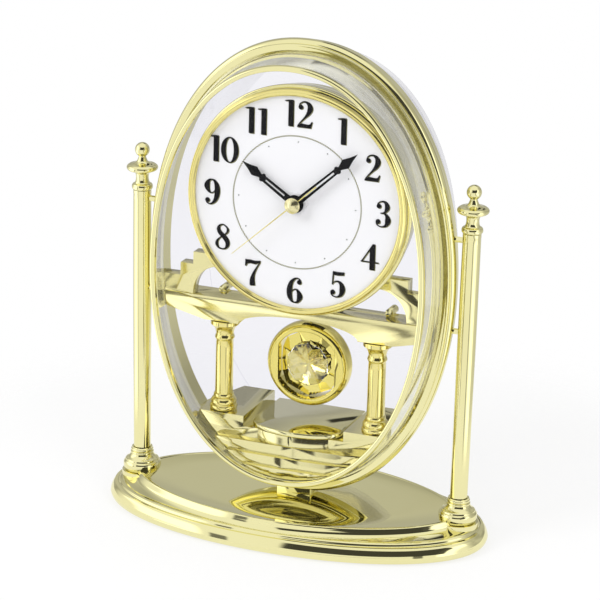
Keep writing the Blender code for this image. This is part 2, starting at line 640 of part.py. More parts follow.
def lens(half_length, half_depth, z, power=BASE_POWER):
    points = superellipse(half_length, half_depth, power, BASE_SIDES)
    return [(x, BASE_MIDDLE_Y + y, z) for x, y in points]


def circle(radius, sides=SMALL_SIDES, middle=(0, 0)):
    return [(middle[0] + radius * math.cos(math.tau * side / sides),
             middle[1] + radius * math.sin(math.tau * side / sides)) for side in range(sides)]


def scaled(shares, width, height, start=0):
    """Profile of (radius, height) from shares of a radius and a height."""
    return [(across * width, start + up * height) for across, up in shares]


def turned_clockwise(points, angle):
    sine, cosine = math.sin(angle), math.cos(angle)
    return [(x * cosine + y * sine, y * cosine - x * sine) for x, y in points]


def mirrored(half):
    """Close an outline of +X points, listed from the middle outwards."""
    return half + [(-x, y) for x, y in reversed(half) if x]


# Base
def base_rows():
    rim_hollow = RIM_INSET + BASE_WALL
    shelf = lens(BASE_HALF_LENGTH - STEP_INSET, BASE_HALF_DEPTH - STEP_INSET,
                 RIM_HEIGHT + STEP_RISE)
    top = lens(TOP_HALF_LENGTH, TOP_HALF_DEPTH, BASE_HEIGHT, TOP_POWER)
    ceiling = RIM_HEIGHT + (BASE_HEIGHT - RIM_HEIGHT) * CEILING_SHARE
    rows = [
        lens(TOP_HALF_LENGTH - BASE_WALL, TOP_HALF_DEPTH - BASE_WALL, ceiling, TOP_POWER),
        lens(BASE_HALF_LENGTH - STEP_INSET - BASE_WALL, BASE_HALF_DEPTH - STEP_INSET - BASE_WALL,
             RIM_HEIGHT - BASE_WALL / 2),
        lens(BASE_HALF_LENGTH - rim_hollow, BASE_HALF_DEPTH - rim_hollow,
             RIM_HEIGHT - BASE_WALL),
        lens(BASE_HALF_LENGTH - rim_hollow, BASE_HALF_DEPTH - rim_hollow,
             RIM_HEIGHT * RIM_SHARES[0][0]),
    ]
    for up, inward in RIM_SHARES:
        inset = inward * RIM_INSET
        rows.append(lens(BASE_HALF_LENGTH - inset, BASE_HALF_DEPTH - inset, up * RIM_HEIGHT))
    rows.append(shelf)
    for inward, up in RIDGE_SHARES:
        height = RIM_HEIGHT + (BASE_HEIGHT - RIM_HEIGHT) * up
        rows.append([(x + (there_x - x) * inward, y + (there_y - y) * inward, height)
                     for (x, y, _), (there_x, there_y, _) in zip(shelf, top)])
    return rows


POSTS = {}
for side_name, side in (("left", -1), ("right", 1)):
    POSTS[side_name] = make_empty("post_" + side_name, (side * POST_X, 0, POST_FLOOR),
                                  (0, side * POST_SPLAY, 0), BODY)


def make_base():
    shell = place(loft("base_shell", base_rows(), GOLD), parent=STAND)
    saddle = block("saddle_guide",
                   (-TONGUE_HALF_LENGTH - SADDLE_WALL, -TONGUE_HALF_DEPTH - SADDLE_WALL,
                    SLOT_FLOOR - SADDLE_WALL),
                   (TONGUE_HALF_LENGTH + SADDLE_WALL, TONGUE_HALF_DEPTH + SADDLE_WALL,
                    BASE_HEIGHT - BASE_WALL / 2))
    slot = block("slot_guide",
                 (-TONGUE_HALF_LENGTH - SEAT_GAP, -TONGUE_HALF_DEPTH - SLOT_GAP, SLOT_FLOOR),
                 (TONGUE_HALF_LENGTH + SEAT_GAP, TONGUE_HALF_DEPTH + SLOT_GAP,
                  BASE_HEIGHT + CUT_OVERRUN))
    join(shell, place(saddle, parent=STAND))
    pad_top = PAD_HEIGHT + SEAT_GAP
    for across in (-1, 1):
        for back in (-1, 1):
            middle = (across * PAD_X, BASE_MIDDLE_Y + back * PAD_Y, 0)
            boss = cylinder("pad_boss_guide", PAD_RADIUS + PAD_BOSS_WALL, pad_top,
                            BASE_HEIGHT - BASE_WALL / 2)
            join(shell, place(boss, middle, parent=STAND))
            pad = turned("pad_" + ("front_" if back < 0 else "rear_")
                         + ("left" if across < 0 else "right"),
                         [(0, 0), (PAD_RADIUS, 0), (PAD_RADIUS, PAD_HEIGHT), (0, PAD_HEIGHT)],
                         RUBBER)
            place(pad, middle, parent=STAND)
    cover_inset = RIM_INSET + BASE_WALL + SEAT_GAP
    outline = [(x, y) for x, y, _ in lens(BASE_HALF_LENGTH - cover_inset,
                                          BASE_HALF_DEPTH - cover_inset, 0)]
    holes = [circle(PAD_RADIUS + SEAT_GAP, TURNED_SIDES,
                    (across * PAD_X, BASE_MIDDLE_Y + back * PAD_Y))
             for across in (-1, 1) for back in (-1, 1)]
    cover = prism("base_cover", [outline] + holes, RIM_HEIGHT * RIM_SHARES[0][0],
                  BASE_COVER_THICKNESS, DARK_PLASTIC)
    place(cover, parent=STAND)
    for post in POSTS.values():
        drum_height = POST_FLOOR - DRUM_FOOT
        drum = [(0, -drum_height)] + scaled(DRUM_SHARES, DRUM_RADIUS, drum_height, -drum_height)
        drum.append((0, drum[-1][1]))
        join(shell, place(turned("drum_guide", drum, GOLD), parent=post))
    cut(shell, place(slot, parent=STAND))
    for post in POSTS.values():
        pocket = cylinder("pocket_guide", FOOT_RADIUS + SEAT_GAP, 0, FOOT_HEIGHT,
                          sides=TURNED_SIDES)
        hole = cylinder("screw_hole_guide", POST_SCREW_RADIUS + SEAT_GAP,
                        -POST_FLOOR, CUT_OVERRUN)
        cut(shell, place(pocket, parent=post), place(hole, parent=post))


# Posts
def post_line(height):
    """Where a post's middle line lies at a height in the body."""
    return POST_X + (height - POST_FLOOR) * math.tan(POST_SPLAY)


def frame_half_at(height):
    reach = abs((height - OVAL_HEIGHT) / FRAME_HALF_HEIGHT) ** OVAL_POWER
    return FRAME_HALF_WIDTH * (1 - reach) ** (1 / OVAL_POWER)


def make_posts():
    bore = POST_SCREW_RADIUS + SEAT_GAP
    column_foot = SEAT_GAP + FOOT_HEIGHT + SEAT_GAP
    column_top = column_foot + COLUMN_LENGTH
    finial_foot = column_top + SEAT_GAP
    spigot_room = SPIGOT_RADIUS + SEAT_GAP
    columns = {}
    for side_name, post in POSTS.items():
        foot = scaled(FOOT_SHARES, FOOT_RADIUS, FOOT_HEIGHT, SEAT_GAP)
        foot = [(bore, foot[0][1])] + foot + [(bore, foot[-1][1])]
        place(turned("foot_" + side_name, foot, GOLD, bored=True), parent=post)
        screw_room = column_foot + POST_SCREW_REACH + OVERLAP
        shaft = scaled(COLUMN_SHARES, COLUMN_RADIUS, COLUMN_LENGTH, column_foot)
        shaft = ([(0, screw_room), (bore, screw_room), (bore, column_foot)] + shaft
                 + [(spigot_room, column_top),
                    (spigot_room, column_top - SPIGOT_LENGTH - SEAT_GAP),
                    (0, column_top - SPIGOT_LENGTH - SEAT_GAP)])
        columns[side_name] = place(turned("column_" + side_name, shaft, GOLD), parent=post)
        finial = ([(0, finial_foot - SPIGOT_LENGTH), (SPIGOT_RADIUS, finial_foot - SPIGOT_LENGTH),
                   (SPIGOT_RADIUS, finial_foot)]
                  + scaled(FINIAL_SHARES, FINIAL_RADIUS, FINIAL_HEIGHT, finial_foot))
        place(turned("finial_" + side_name, finial, GOLD), parent=post)
        head_top = DRUM_FOOT - POST_FLOOR - SEAT_GAP
        head_foot = head_top - SCREW_HEAD_HEIGHT
        screw = [(0, head_foot), (SCREW_HEAD_RADIUS, head_foot),
                 (SCREW_HEAD_RADIUS, head_top), (POST_SCREW_RADIUS, head_top),
                 (POST_SCREW_RADIUS, column_foot + POST_SCREW_REACH),
                 (0, column_foot + POST_SCREW_REACH)]
        place(turned("post_screw_" + side_name, screw, STEEL, SMALL_SIDES), parent=post)
    return columns


def make_pins(frame, columns):
    upper = POST_FLOOR + SEAT_GAP + FOOT_HEIGHT + SEAT_GAP + COLUMN_LENGTH - PIN_TOP_MARGIN
    for side_name, side in (("left", -1), ("right", 1)):
        for level, height in (("lower", upper - PIN_SPACING), ("upper", upper)):
            near = frame_half_at(height) - PIN_DEPTH
            far = post_line(height) - COLUMN_RADIUS + PIN_DEPTH
            pin = cylinder("_".join(("pin", level, side_name)), PIN_RADIUS, near, far, GOLD)
            hole = cylinder("pin_hole_guide", PIN_RADIUS + SEAT_GAP, near - SEAT_GAP,
                            far + SEAT_GAP)
            for item in (pin, hole):
                place(item, (0, 0, height), tuple(side * angle for angle in ALONG_X))
            cut(frame, hole)
            cut(columns[side_name], hole)


# Oval frame and its covers
def oval_ring(name, rows, finish):
    return loft(name, [oval(half_width, y) for half_width, y in rows], finish, closed=True)


def make_frame():
    rows = [(FRAME_HALF_WIDTH - inset * FRAME_THICKNESS, FRAME_FRONT_Y + back * FRAME_DEPTH)
            for inset, back in FRAME_OUTER_SHARES]
    inner = FRAME_HALF_WIDTH - FRAME_THICKNESS
    lip = FRAME_HALF_WIDTH - FRAME_THICKNESS * FRAME_LIP_SHARE
    rows += [(inner, FRAME_FRONT_Y + FRAME_DEPTH), (inner, FRAME_FRONT_Y + FRAME_LIP_DEPTH),
             (lip, FRAME_FRONT_Y + FRAME_LIP_DEPTH), (lip, FRAME_FRONT_Y)]
    frame = oval_ring("main_frame", rows, GOLD)
    tongue = block("tongue_guide", (-TONGUE_HALF_LENGTH, -TONGUE_HALF_DEPTH, TONGUE_FOOT),
                   (TONGUE_HALF_LENGTH, TONGUE_HALF_DEPTH, TONGUE_TOP))
    return join(frame, tongue)


def make_front():
    lip = FRAME_HALF_WIDTH - FRAME_THICKNESS * FRAME_LIP_SHARE - SEAT_GAP
    rear = FRAME_FRONT_Y + FRAME_LIP_DEPTH - SEAT_GAP
    front_half = COVER_HALF_WIDTH - COVER_TAPER
    rows = [(front_half - COVER_WALL, COVER_FRONT_Y + COVER_WALL),
            (COVER_HALF_WIDTH - COVER_WALL, rear - COVER_LIP),
            (COVER_HALF_WIDTH - COVER_WALL, rear), (lip, rear), (lip, rear - COVER_LIP),
            (COVER_HALF_WIDTH, FRAME_FRONT_Y), (front_half, COVER_FRONT_Y)]
    loft("front_cover", [oval(half_width, y) for half_width, y in rows], CLEAR)
    bezel = [(BEZEL_HALF_WIDTH - inset * BEZEL_WIDTH,
              COVER_FRONT_Y - SEAT_GAP - forward * BEZEL_DEPTH)
             for inset, forward in BEZEL_SHARES]
    oval_ring("front_bezel", bezel, GOLD)


def make_rear():
    back_half = REAR_HALF_WIDTH - REAR_TAPER
    rows = [(back_half - REAR_WALL, REAR_BACK_Y - REAR_WALL),
            (REAR_HALF_WIDTH - REAR_WALL, REAR_FRONT_Y), (REAR_HALF_WIDTH, REAR_FRONT_Y),
            (back_half, REAR_BACK_Y)]
    cover = loft("rear_cover", [oval(half_width, y) for half_width, y in rows], CLEAR)
    lug_inner = HINGE_HALF_LENGTH + SEAT_GAP
    for up in (-1, 1):
        ends = sorted((DIAL_HEIGHT + up * lug_inner,
                       DIAL_HEIGHT + up * (lug_inner + HINGE_LUG_LENGTH)))
        join(cover, block("lug_guide",
                          (HINGE_X - HINGE_RADIUS - HINGE_LUG_WALL, REAR_BACK_Y - OVERLAP, ends[0]),
                          (HINGE_X + HINGE_RADIUS, HINGE_Y + HINGE_RADIUS, ends[1])))
    opening = cylinder("door_hole_guide", DOOR_RADIUS, -REAR_BACK_Y - CUT_OVERRUN,
                       -REAR_BACK_Y + REAR_WALL + CUT_OVERRUN, sides=DIAL_SIDES)
    pin_hole = cylinder("pin_bore_guide", HINGE_PIN_RADIUS + RUNNING_GAP,
                        -lug_inner - HINGE_LUG_LENGTH - CUT_OVERRUN,
                        lug_inner + HINGE_LUG_LENGTH + CUT_OVERRUN)
    cut(cover, on_dial(opening), place(pin_hole, (HINGE_X, HINGE_Y, DIAL_HEIGHT)))

    # The door's origin lies on its hinge
    door = turned("rear_door", [(0, -HINGE_HALF_LENGTH), (HINGE_RADIUS, -HINGE_HALF_LENGTH),
                                (HINGE_RADIUS, HINGE_HALF_LENGTH), (0, HINGE_HALF_LENGTH)],
                  CLEAR, SMALL_SIDES)
    place(door, (HINGE_X, HINGE_Y, DIAL_HEIGHT))
    disc = cylinder("door_disc_guide", DOOR_RADIUS - SEAT_GAP, -REAR_BACK_Y,
                    -REAR_BACK_Y + DOOR_THICKNESS, sides=DIAL_SIDES)
    arm = block("door_arm_guide",
                (HINGE_X, REAR_BACK_Y + SEAT_GAP, DIAL_HEIGHT - HINGE_HALF_LENGTH + OVERLAP),
                (HINGE_ARM_LAP - DOOR_RADIUS, HINGE_Y, DIAL_HEIGHT + HINGE_HALF_LENGTH - OVERLAP))
    bridge = block("door_step_guide",
                   (-DOOR_RADIUS + SEAT_GAP + OVERLAP, REAR_BACK_Y - DOOR_THICKNESS / 2,
                    DIAL_HEIGHT - HINGE_HALF_LENGTH + 2 * OVERLAP),
                   (HINGE_ARM_LAP - DOOR_RADIUS - OVERLAP, HINGE_Y - OVERLAP,
                    DIAL_HEIGHT + HINGE_HALF_LENGTH - 2 * OVERLAP))
    pin = cylinder("door_pin_guide", HINGE_PIN_RADIUS, -lug_inner - HINGE_LUG_LENGTH,
                   lug_inner + HINGE_LUG_LENGTH)
    join(door, arm, bridge, on_dial(disc), place(pin, (HINGE_X, HINGE_Y, DIAL_HEIGHT)))


# What stands inside the oval is trimmed by this core, which clears the walls
def make_core(name):
    rear = FRAME_FRONT_Y + FRAME_LIP_DEPTH
    inner = FRAME_HALF_WIDTH - FRAME_THICKNESS - SEAT_GAP
    front_half = COVER_HALF_WIDTH - COVER_TAPER - COVER_WALL - SEAT_GAP
    back_half = REAR_HALF_WIDTH - REAR_TAPER - REAR_WALL - SEAT_GAP
    rows = [(front_half, COVER_FRONT_Y + COVER_WALL + SEAT_GAP),
            (COVER_HALF_WIDTH - COVER_WALL - SEAT_GAP, rear - SEAT_GAP),
            (inner, rear + OVERLAP), (inner, REAR_FRONT_Y),
            (back_half, REAR_BACK_Y - REAR_WALL - SEAT_GAP)]
    return loft(name, [oval(half_width, y) for half_width, y in rows], CLEAR)


# Dial group
def drum_profile(gap=0):
    """Outer line of the drum as (radius, forward), from its rear to its front."""
    front = CASE_FRONT
    return [(DIAL_DRUM_REAR_RADIUS + gap, -DIAL_DRUM_REAR_Y - gap),
            (DIAL_DRUM_RADIUS + gap, -DIAL_DRUM_WIDEST_Y),
            (DIAL_DRUM_RADIUS - DIAL_DRUM_STEP + gap, front - DIAL_DRUM_STEP),
            (DIAL_DRUM_RADIUS - DIAL_DRUM_STEP + gap, front)]


def make_dial():
    outer = drum_profile()
    front = outer[-1][1]
    profile = ([(0, outer[0][1])] + outer
               + [(DIAL_DRUM_MOUTH, front), (DIAL_DRUM_MOUTH, front - DIAL_DRUM_STEP),
                  (DIAL_DRUM_RADIUS - DRUM_WALL, -DIAL_DRUM_WIDEST_Y - OVERLAP),
                  (DIAL_DRUM_REAR_RADIUS - DRUM_WALL, DRUM_WALL - DIAL_DRUM_REAR_Y),
                  (0, DRUM_WALL - DIAL_DRUM_REAR_Y)])
    drum = on_dial(turned("dial_drum", profile, GOLD, DIAL_SIDES))
    window = block("drum_window_guide",
                   (-CASE_HALF_WIDTH - WINDOW_MARGIN, DIAL_DRUM_REAR_Y - DRUM_WALL - CUT_OVERRUN,
                    DIAL_HEIGHT - CASE_BOTTOM - WINDOW_MARGIN),
                   (CASE_HALF_WIDTH + WINDOW_MARGIN, DIAL_DRUM_REAR_Y + CUT_OVERRUN,
                    DIAL_HEIGHT + CASE_TOP + WINDOW_MARGIN))
    cut(drum, window)

    skirt = DIAL_RADIUS + SEAT_GAP
    face = -DIAL_FACE_Y + SEAT_GAP
    top = -DIAL_BEZEL_FRONT_Y
    rear = front + SEAT_GAP
    bezel = [(DIAL_BEZEL_BORE, face), (DIAL_BEZEL_BORE, top - DIAL_BEZEL_EDGE),
             (DIAL_BEZEL_BORE + DIAL_BEZEL_EDGE, top), (DIAL_BEZEL_RADIUS - DIAL_BEZEL_EDGE, top),
             (DIAL_BEZEL_RADIUS, top - DIAL_BEZEL_EDGE), (DIAL_BEZEL_RADIUS, rear),
             (skirt, rear), (skirt, face)]
    on_dial(turned("dial_bezel", bezel, RICH_GOLD, DIAL_SIDES, bored=True))

    hole = BUSH_RADIUS + SEAT_GAP
    on_dial(prism("dial_plate", [circle(DIAL_RADIUS, DIAL_SIDES), circle(hole, TURNED_SIDES)],
                  -DIAL_FACE_Y - DIAL_THICKNESS, DIAL_THICKNESS, WHITE))
    on_dial(prism("dial_nut", [circle(NUT_RADIUS, 6), circle(hole, TURNED_SIDES)],
                  face, NUT_THICKNESS, BRASS))


# Bridge, pillars and platform
def make_bridge(core):
    far = FRAME_HALF_WIDTH
    lap = LEDGE_HEIGHT - OVERLAP
    shares = [step / ARC_STEPS for step in range(ARC_STEPS)]
    vault = [(HAUNCH_INNER * math.sin(share * math.pi / 2),
              BEAM_FOOT_HEIGHT + BEAM_ARCH_RISE * math.cos(share * math.pi / 2)) for share in shares]
    half = vault + [(HAUNCH_INNER, BEAM_FOOT_HEIGHT), (HAUNCH_OUTER, BEAM_FOOT_HEIGHT),
                    (far, BEAM_END_HEIGHT), (far, LEDGE_HEIGHT)]
    bridge = upright(prism("bridge", [mirrored(half)], 0, BRIDGE_DEPTH, GOLD),
                     BRIDGE_FRONT_Y + BRIDGE_DEPTH)
    start = math.acos((ARCH_INNER - ARCH_MIDDLE) / ARCH_RADIUS)
    arch = [(ARCH_MIDDLE + ARCH_RADIUS * math.cos(start * (1 - share)),
             ARCH_SPRING + ARCH_RADIUS * math.sin(start * (1 - share)))
            for share in shares + [1]]
    pier = arch + [(ARCH_MIDDLE + ARCH_RADIUS, lap), (far, lap), (far, STEP_HEIGHTS[2]),
                   (STEP_EDGES[1], STEP_HEIGHTS[2]), (STEP_EDGES[1], STEP_HEIGHTS[1]),
                   (STEP_EDGES[0], STEP_HEIGHTS[1]), (STEP_EDGES[0], STEP_HEIGHTS[0]),
                   (ARCH_INNER, STEP_HEIGHTS[0])]
    for side in (-1, 1):
        outline = [(side * x, z) for x, z in pier]
        solid = prism("pier_guide", [outline], 0, PIER_DEPTH, GOLD)
        join(bridge, upright(solid, BRIDGE_FRONT_Y + PIER_SETBACK + PIER_DEPTH))
    peg = cylinder("peg_guide", PEG_RADIUS, -PEG_REAR_Y, -PEG_FRONT_Y)
    join(bridge, place(peg, (PEG_X, 0, PEG_HEIGHT), FACE_TURN))
    room = drum_profile(SEAT_GAP)
    seat = turned("drum_seat_guide", [(0, room[0][1])] + room + [(0, room[-1][1])], GOLD,
                  DIAL_SIDES)
    trim(bridge, core)
    cut(bridge, on_dial(seat))

    height = BEAM_FOOT_HEIGHT - BLOCK_HEIGHT - SEAT_GAP - SEAT_GAP
    for side_name, side in (("left", -1), ("right", 1)):
        profile = scaled(PILLAR_SHARES, PILLAR_RADIUS, height)
        profile = [(0, 0)] + profile + [(0, height)]
        place(turned("pillar_" + side_name, profile, RICH_GOLD),
              (side * PILLAR_X, PILLAR_Y, BLOCK_HEIGHT + SEAT_GAP))


def stage_outline(inset, rear):
    """Stage in plan: square behind, rounded in front."""
    half_width = STAGE_HALF_WIDTH - inset
    reach = STAGE_SHOULDER_Y - STAGE_FRONT_Y - inset
    front = [(half_width * math.sin(share * math.pi / 2 / ARC_STEPS),
              STAGE_SHOULDER_Y - reach * math.cos(share * math.pi / 2 / ARC_STEPS))
             for share in range(ARC_STEPS + 1)]
    return mirrored(front + [(half_width, rear)])


def make_platform(core):
    far = FRAME_HALF_WIDTH
    platform = block("platform", (-far, BLOCK_FRONT_Y, DECK_UNDERSIDE),
                     (far, DECK_REAR_Y, BLOCK_HEIGHT), GOLD)
    channel = block("channel_guide", (-BLOCK_INNER, BLOCK_FRONT_Y - CUT_OVERRUN, DECK_HEIGHT),
                    (BLOCK_INNER, DECK_REAR_Y + CUT_OVERRUN, BLOCK_HEIGHT + CUT_OVERRUN))
    cut(platform, channel)
    plinth = prism("plinth_guide", [stage_outline(PLINTH_INSET, TERRACE_REAR_Y)],
                   TERRACE_HEIGHTS[0] - OVERLAP, DECK_HEIGHT - TERRACE_HEIGHTS[0] + OVERLAP, GOLD)
    join(platform, plinth)
    for height, front in zip(TERRACE_HEIGHTS, TERRACE_FRONTS):
        edge = [(far * step / ARC_STEPS, front - TERRACE_BULGE * (1 - (step / ARC_STEPS) ** 2))
                for step in range(ARC_STEPS + 1)]
        rear = TERRACE_REAR_Y + front / 2
        join(platform, prism("terrace_guide", [mirrored(edge + [(far, rear)])],
                             0, height, GOLD))
    trim(platform, core)
    prism("stage", [stage_outline(0, DECK_REAR_Y - CUT_OVERRUN)], DECK_HEIGHT + SEAT_GAP,
          STAGE_HEIGHT - DECK_HEIGHT - SEAT_GAP, GOLD)


# Pendulum, which turns about an upright spindle
def make_pendulum():
    middle = (0, PENDULUM_Y, PENDULUM_HEIGHT)
    rim = scaled(HOOP_SHARES, HOOP_RADIUS, HOOP_DEPTH)
    disc = [(0, rim[0][1])] + rim + [(0, rim[-1][1])]
    hoop = place(turned("hoop", disc, RICH_GOLD, HOOP_SIDES), middle, FACE_TURN)
    opening = [(max(-HOOP_OPENING_HALF_WIDTH, min(HOOP_OPENING_HALF_WIDTH, x)), y)
               for x, y in circle(HOOP_OPENING, HOOP_SIDES)]
    hole = prism("hoop_opening_guide", [opening], -HOOP_DEPTH, 2 * HOOP_DEPTH, RICH_GOLD)
    grip = cylinder("spindle_hole_guide", SPINDLE_RADIUS + SEAT_GAP,
                    HOOP_RADIUS - SPINDLE_GRIP - SEAT_GAP, HOOP_RADIUS + CUT_OVERRUN)
    cut(hoop, place(hole, middle, FACE_TURN), place(grip, middle))

    points = []
    for step in range(2 * PETAL_COUNT):
        angle = math.pi * step / PETAL_COUNT
        to_flat_side = HOOP_OPENING_HALF_WIDTH / abs(math.cos(angle))
        reach = min(HOOP_OPENING, to_flat_side) - SEAT_GAP
        if step % 2:
            reach *= PETAL_INNER_SHARE
        points.append((reach * math.cos(angle), reach * math.sin(angle)))
    petals = prism("petals", [points], -PETAL_THICKNESS / 2, PETAL_THICKNESS, RICH_GOLD)
    place(petals, middle, FACE_TURN)
    seat = PETAL_THICKNESS / 2 + SEAT_GAP
    for name, way in (("crystal_front", 1), ("crystal_rear", -1)):
        profile = [(radius, way * height) for radius, height in
                   scaled(CRYSTAL_SHARES, CRYSTAL_RADIUS, CRYSTAL_HEIGHT, seat)]
        gem = turned(name, profile, CRYSTAL, CRYSTAL_SIDES)
        place(gem, middle, FACE_TURN)

    floor = MOTOR_BOTTOM + MOTOR_WALL - PENDULUM_HEIGHT
    magnet = floor + DRIVE_MAGNET_RISE
    top = MOTOR_TOP - MOTOR_WALL - SPINDLE_TOP_DEPTH - PENDULUM_HEIGHT
    collar = floor + RUNNING_GAP
    spindle = turned("spindle", [
        (0, HOOP_RADIUS - SPINDLE_GRIP), (SPINDLE_RADIUS, HOOP_RADIUS - SPINDLE_GRIP),
        (SPINDLE_RADIUS, collar), (COLLAR_RADIUS, collar), (COLLAR_RADIUS, collar + COLLAR_HEIGHT),
        (SPINDLE_RADIUS, collar + COLLAR_HEIGHT), (SPINDLE_RADIUS, magnet),
        (DRIVE_MAGNET_RADIUS, magnet), (DRIVE_MAGNET_RADIUS, magnet + DRIVE_MAGNET_HEIGHT),
        (SPINDLE_RADIUS, magnet + DRIVE_MAGNET_HEIGHT), (SPINDLE_RADIUS, top), (0, top)],
        STEEL, TURNED_SIDES)
    place(spindle, middle)


def make_motor():
    front = DIAL_DRUM_REAR_Y + SEAT_GAP
    housing = block("motor_housing", (-MOTOR_HALF_WIDTH, front, MOTOR_BOTTOM),
                    (MOTOR_HALF_WIDTH, MOTOR_REAR_Y, MOTOR_TOP), DARK_PLASTIC)
    room = block("motor_room_guide",
                 (MOTOR_WALL - MOTOR_HALF_WIDTH, front + MOTOR_WALL, MOTOR_BOTTOM + MOTOR_WALL),
                 (MOTOR_HALF_WIDTH - MOTOR_WALL, MOTOR_REAR_Y + CUT_OVERRUN,
                  MOTOR_TOP - MOTOR_WALL))
    bearing = cylinder("motor_bearing_guide", MOTOR_BEARING_RADIUS,
                       MOTOR_TOP - MOTOR_WALL - MOTOR_BEARING_LENGTH,
                       MOTOR_TOP - MOTOR_WALL / 2, DARK_PLASTIC)
    bore = SPINDLE_RADIUS + RUNNING_GAP
    upper = cylinder("upper_bore_guide", bore,
                     MOTOR_TOP - MOTOR_WALL - MOTOR_BEARING_LENGTH - CUT_OVERRUN,
                     MOTOR_TOP - MOTOR_WALL)
    lower = cylinder("lower_bore_guide", bore, MOTOR_BOTTOM - CUT_OVERRUN,
                     MOTOR_BOTTOM + MOTOR_WALL + CUT_OVERRUN)
    for item in (bearing, upper, lower):
        place(item, (0, PENDULUM_Y, 0))
    cut(housing, room)
    join(housing, bearing)
    cut(housing, upper, lower)
    top = MOTOR_TOP - MOTOR_WALL - SEAT_GAP
    bottom = top - DRIVE_COIL_LENGTH
    coil = turned("drive_coil", [(DRIVE_CORE_RADIUS, bottom), (DRIVE_COIL_RADIUS, bottom),
                                 (DRIVE_COIL_RADIUS, top), (DRIVE_CORE_RADIUS, top)],
                  COPPER, TURNED_SIDES, bored=True)
    place(coil, (0, DRIVE_COIL_Y, 0))


# Movement: wheels are drawn in the plane of the dial, with +Z forward
def pitch_radius(teeth, module):
    return teeth * module / 2


def meet(teeth, other_teeth, module):
    return pitch_radius(teeth + other_teeth, module)


def towards(direction, distance, start=(0, 0)):
    return (start[0] + distance * math.cos(direction), start[1] + distance * math.sin(direction))


CENTRE = (0, 0)
THIRD = towards(THIRD_DIRECTION, meet(CENTRE_TEETH, PINION_LEAVES, CENTRE_MODULE))
MOTION = towards(MOTION_DIRECTION, meet(MOTION_TEETH, CANNON_TEETH, MOTION_MODULE))
DRIVE = towards(DRIVE_DIRECTION, meet(SECONDS_TEETH, PINION_LEAVES, SECONDS_MODULE))
ROTOR = towards(ROTOR_DIRECTION, meet(DRIVE_TEETH, PINION_LEAVES, DRIVE_MODULE), DRIVE)


def facing(direction, teeth, on_tooth):
    """Turn that puts a tooth, or a gap, of a wheel on a line."""
    return direction if on_tooth else direction + math.pi / teeth


def gear(name, teeth, module, turn, layer, finish=BRASS, hole=0):
    """Wheel with straight-sided teeth, one of them at the angle given by turn."""
    pitch = pitch_radius(teeth, module)
    root, tip = pitch - TOOTH_ROOT_SHARE * module, pitch + TOOTH_TIP_SHARE * module
    step = math.tau / teeth
    foot, crest = step * TOOTH_FOOT_WIDTH_SHARE / 2, step * TOOTH_TIP_WIDTH_SHARE / 2
    points = []
    for tooth in range(teeth):
        middle = turn + tooth * step
        for radius, offset in ((root, -foot), (tip, -crest), (tip, crest), (root, foot)):
            angle = middle + offset
            points.append((radius * math.cos(angle), radius * math.sin(angle)))
    outlines = [points]
    if hole:
        outlines.append(circle(hole, TURNED_SIDES))
    return prism(name, outlines, layer, WHEEL_THICKNESS, finish)


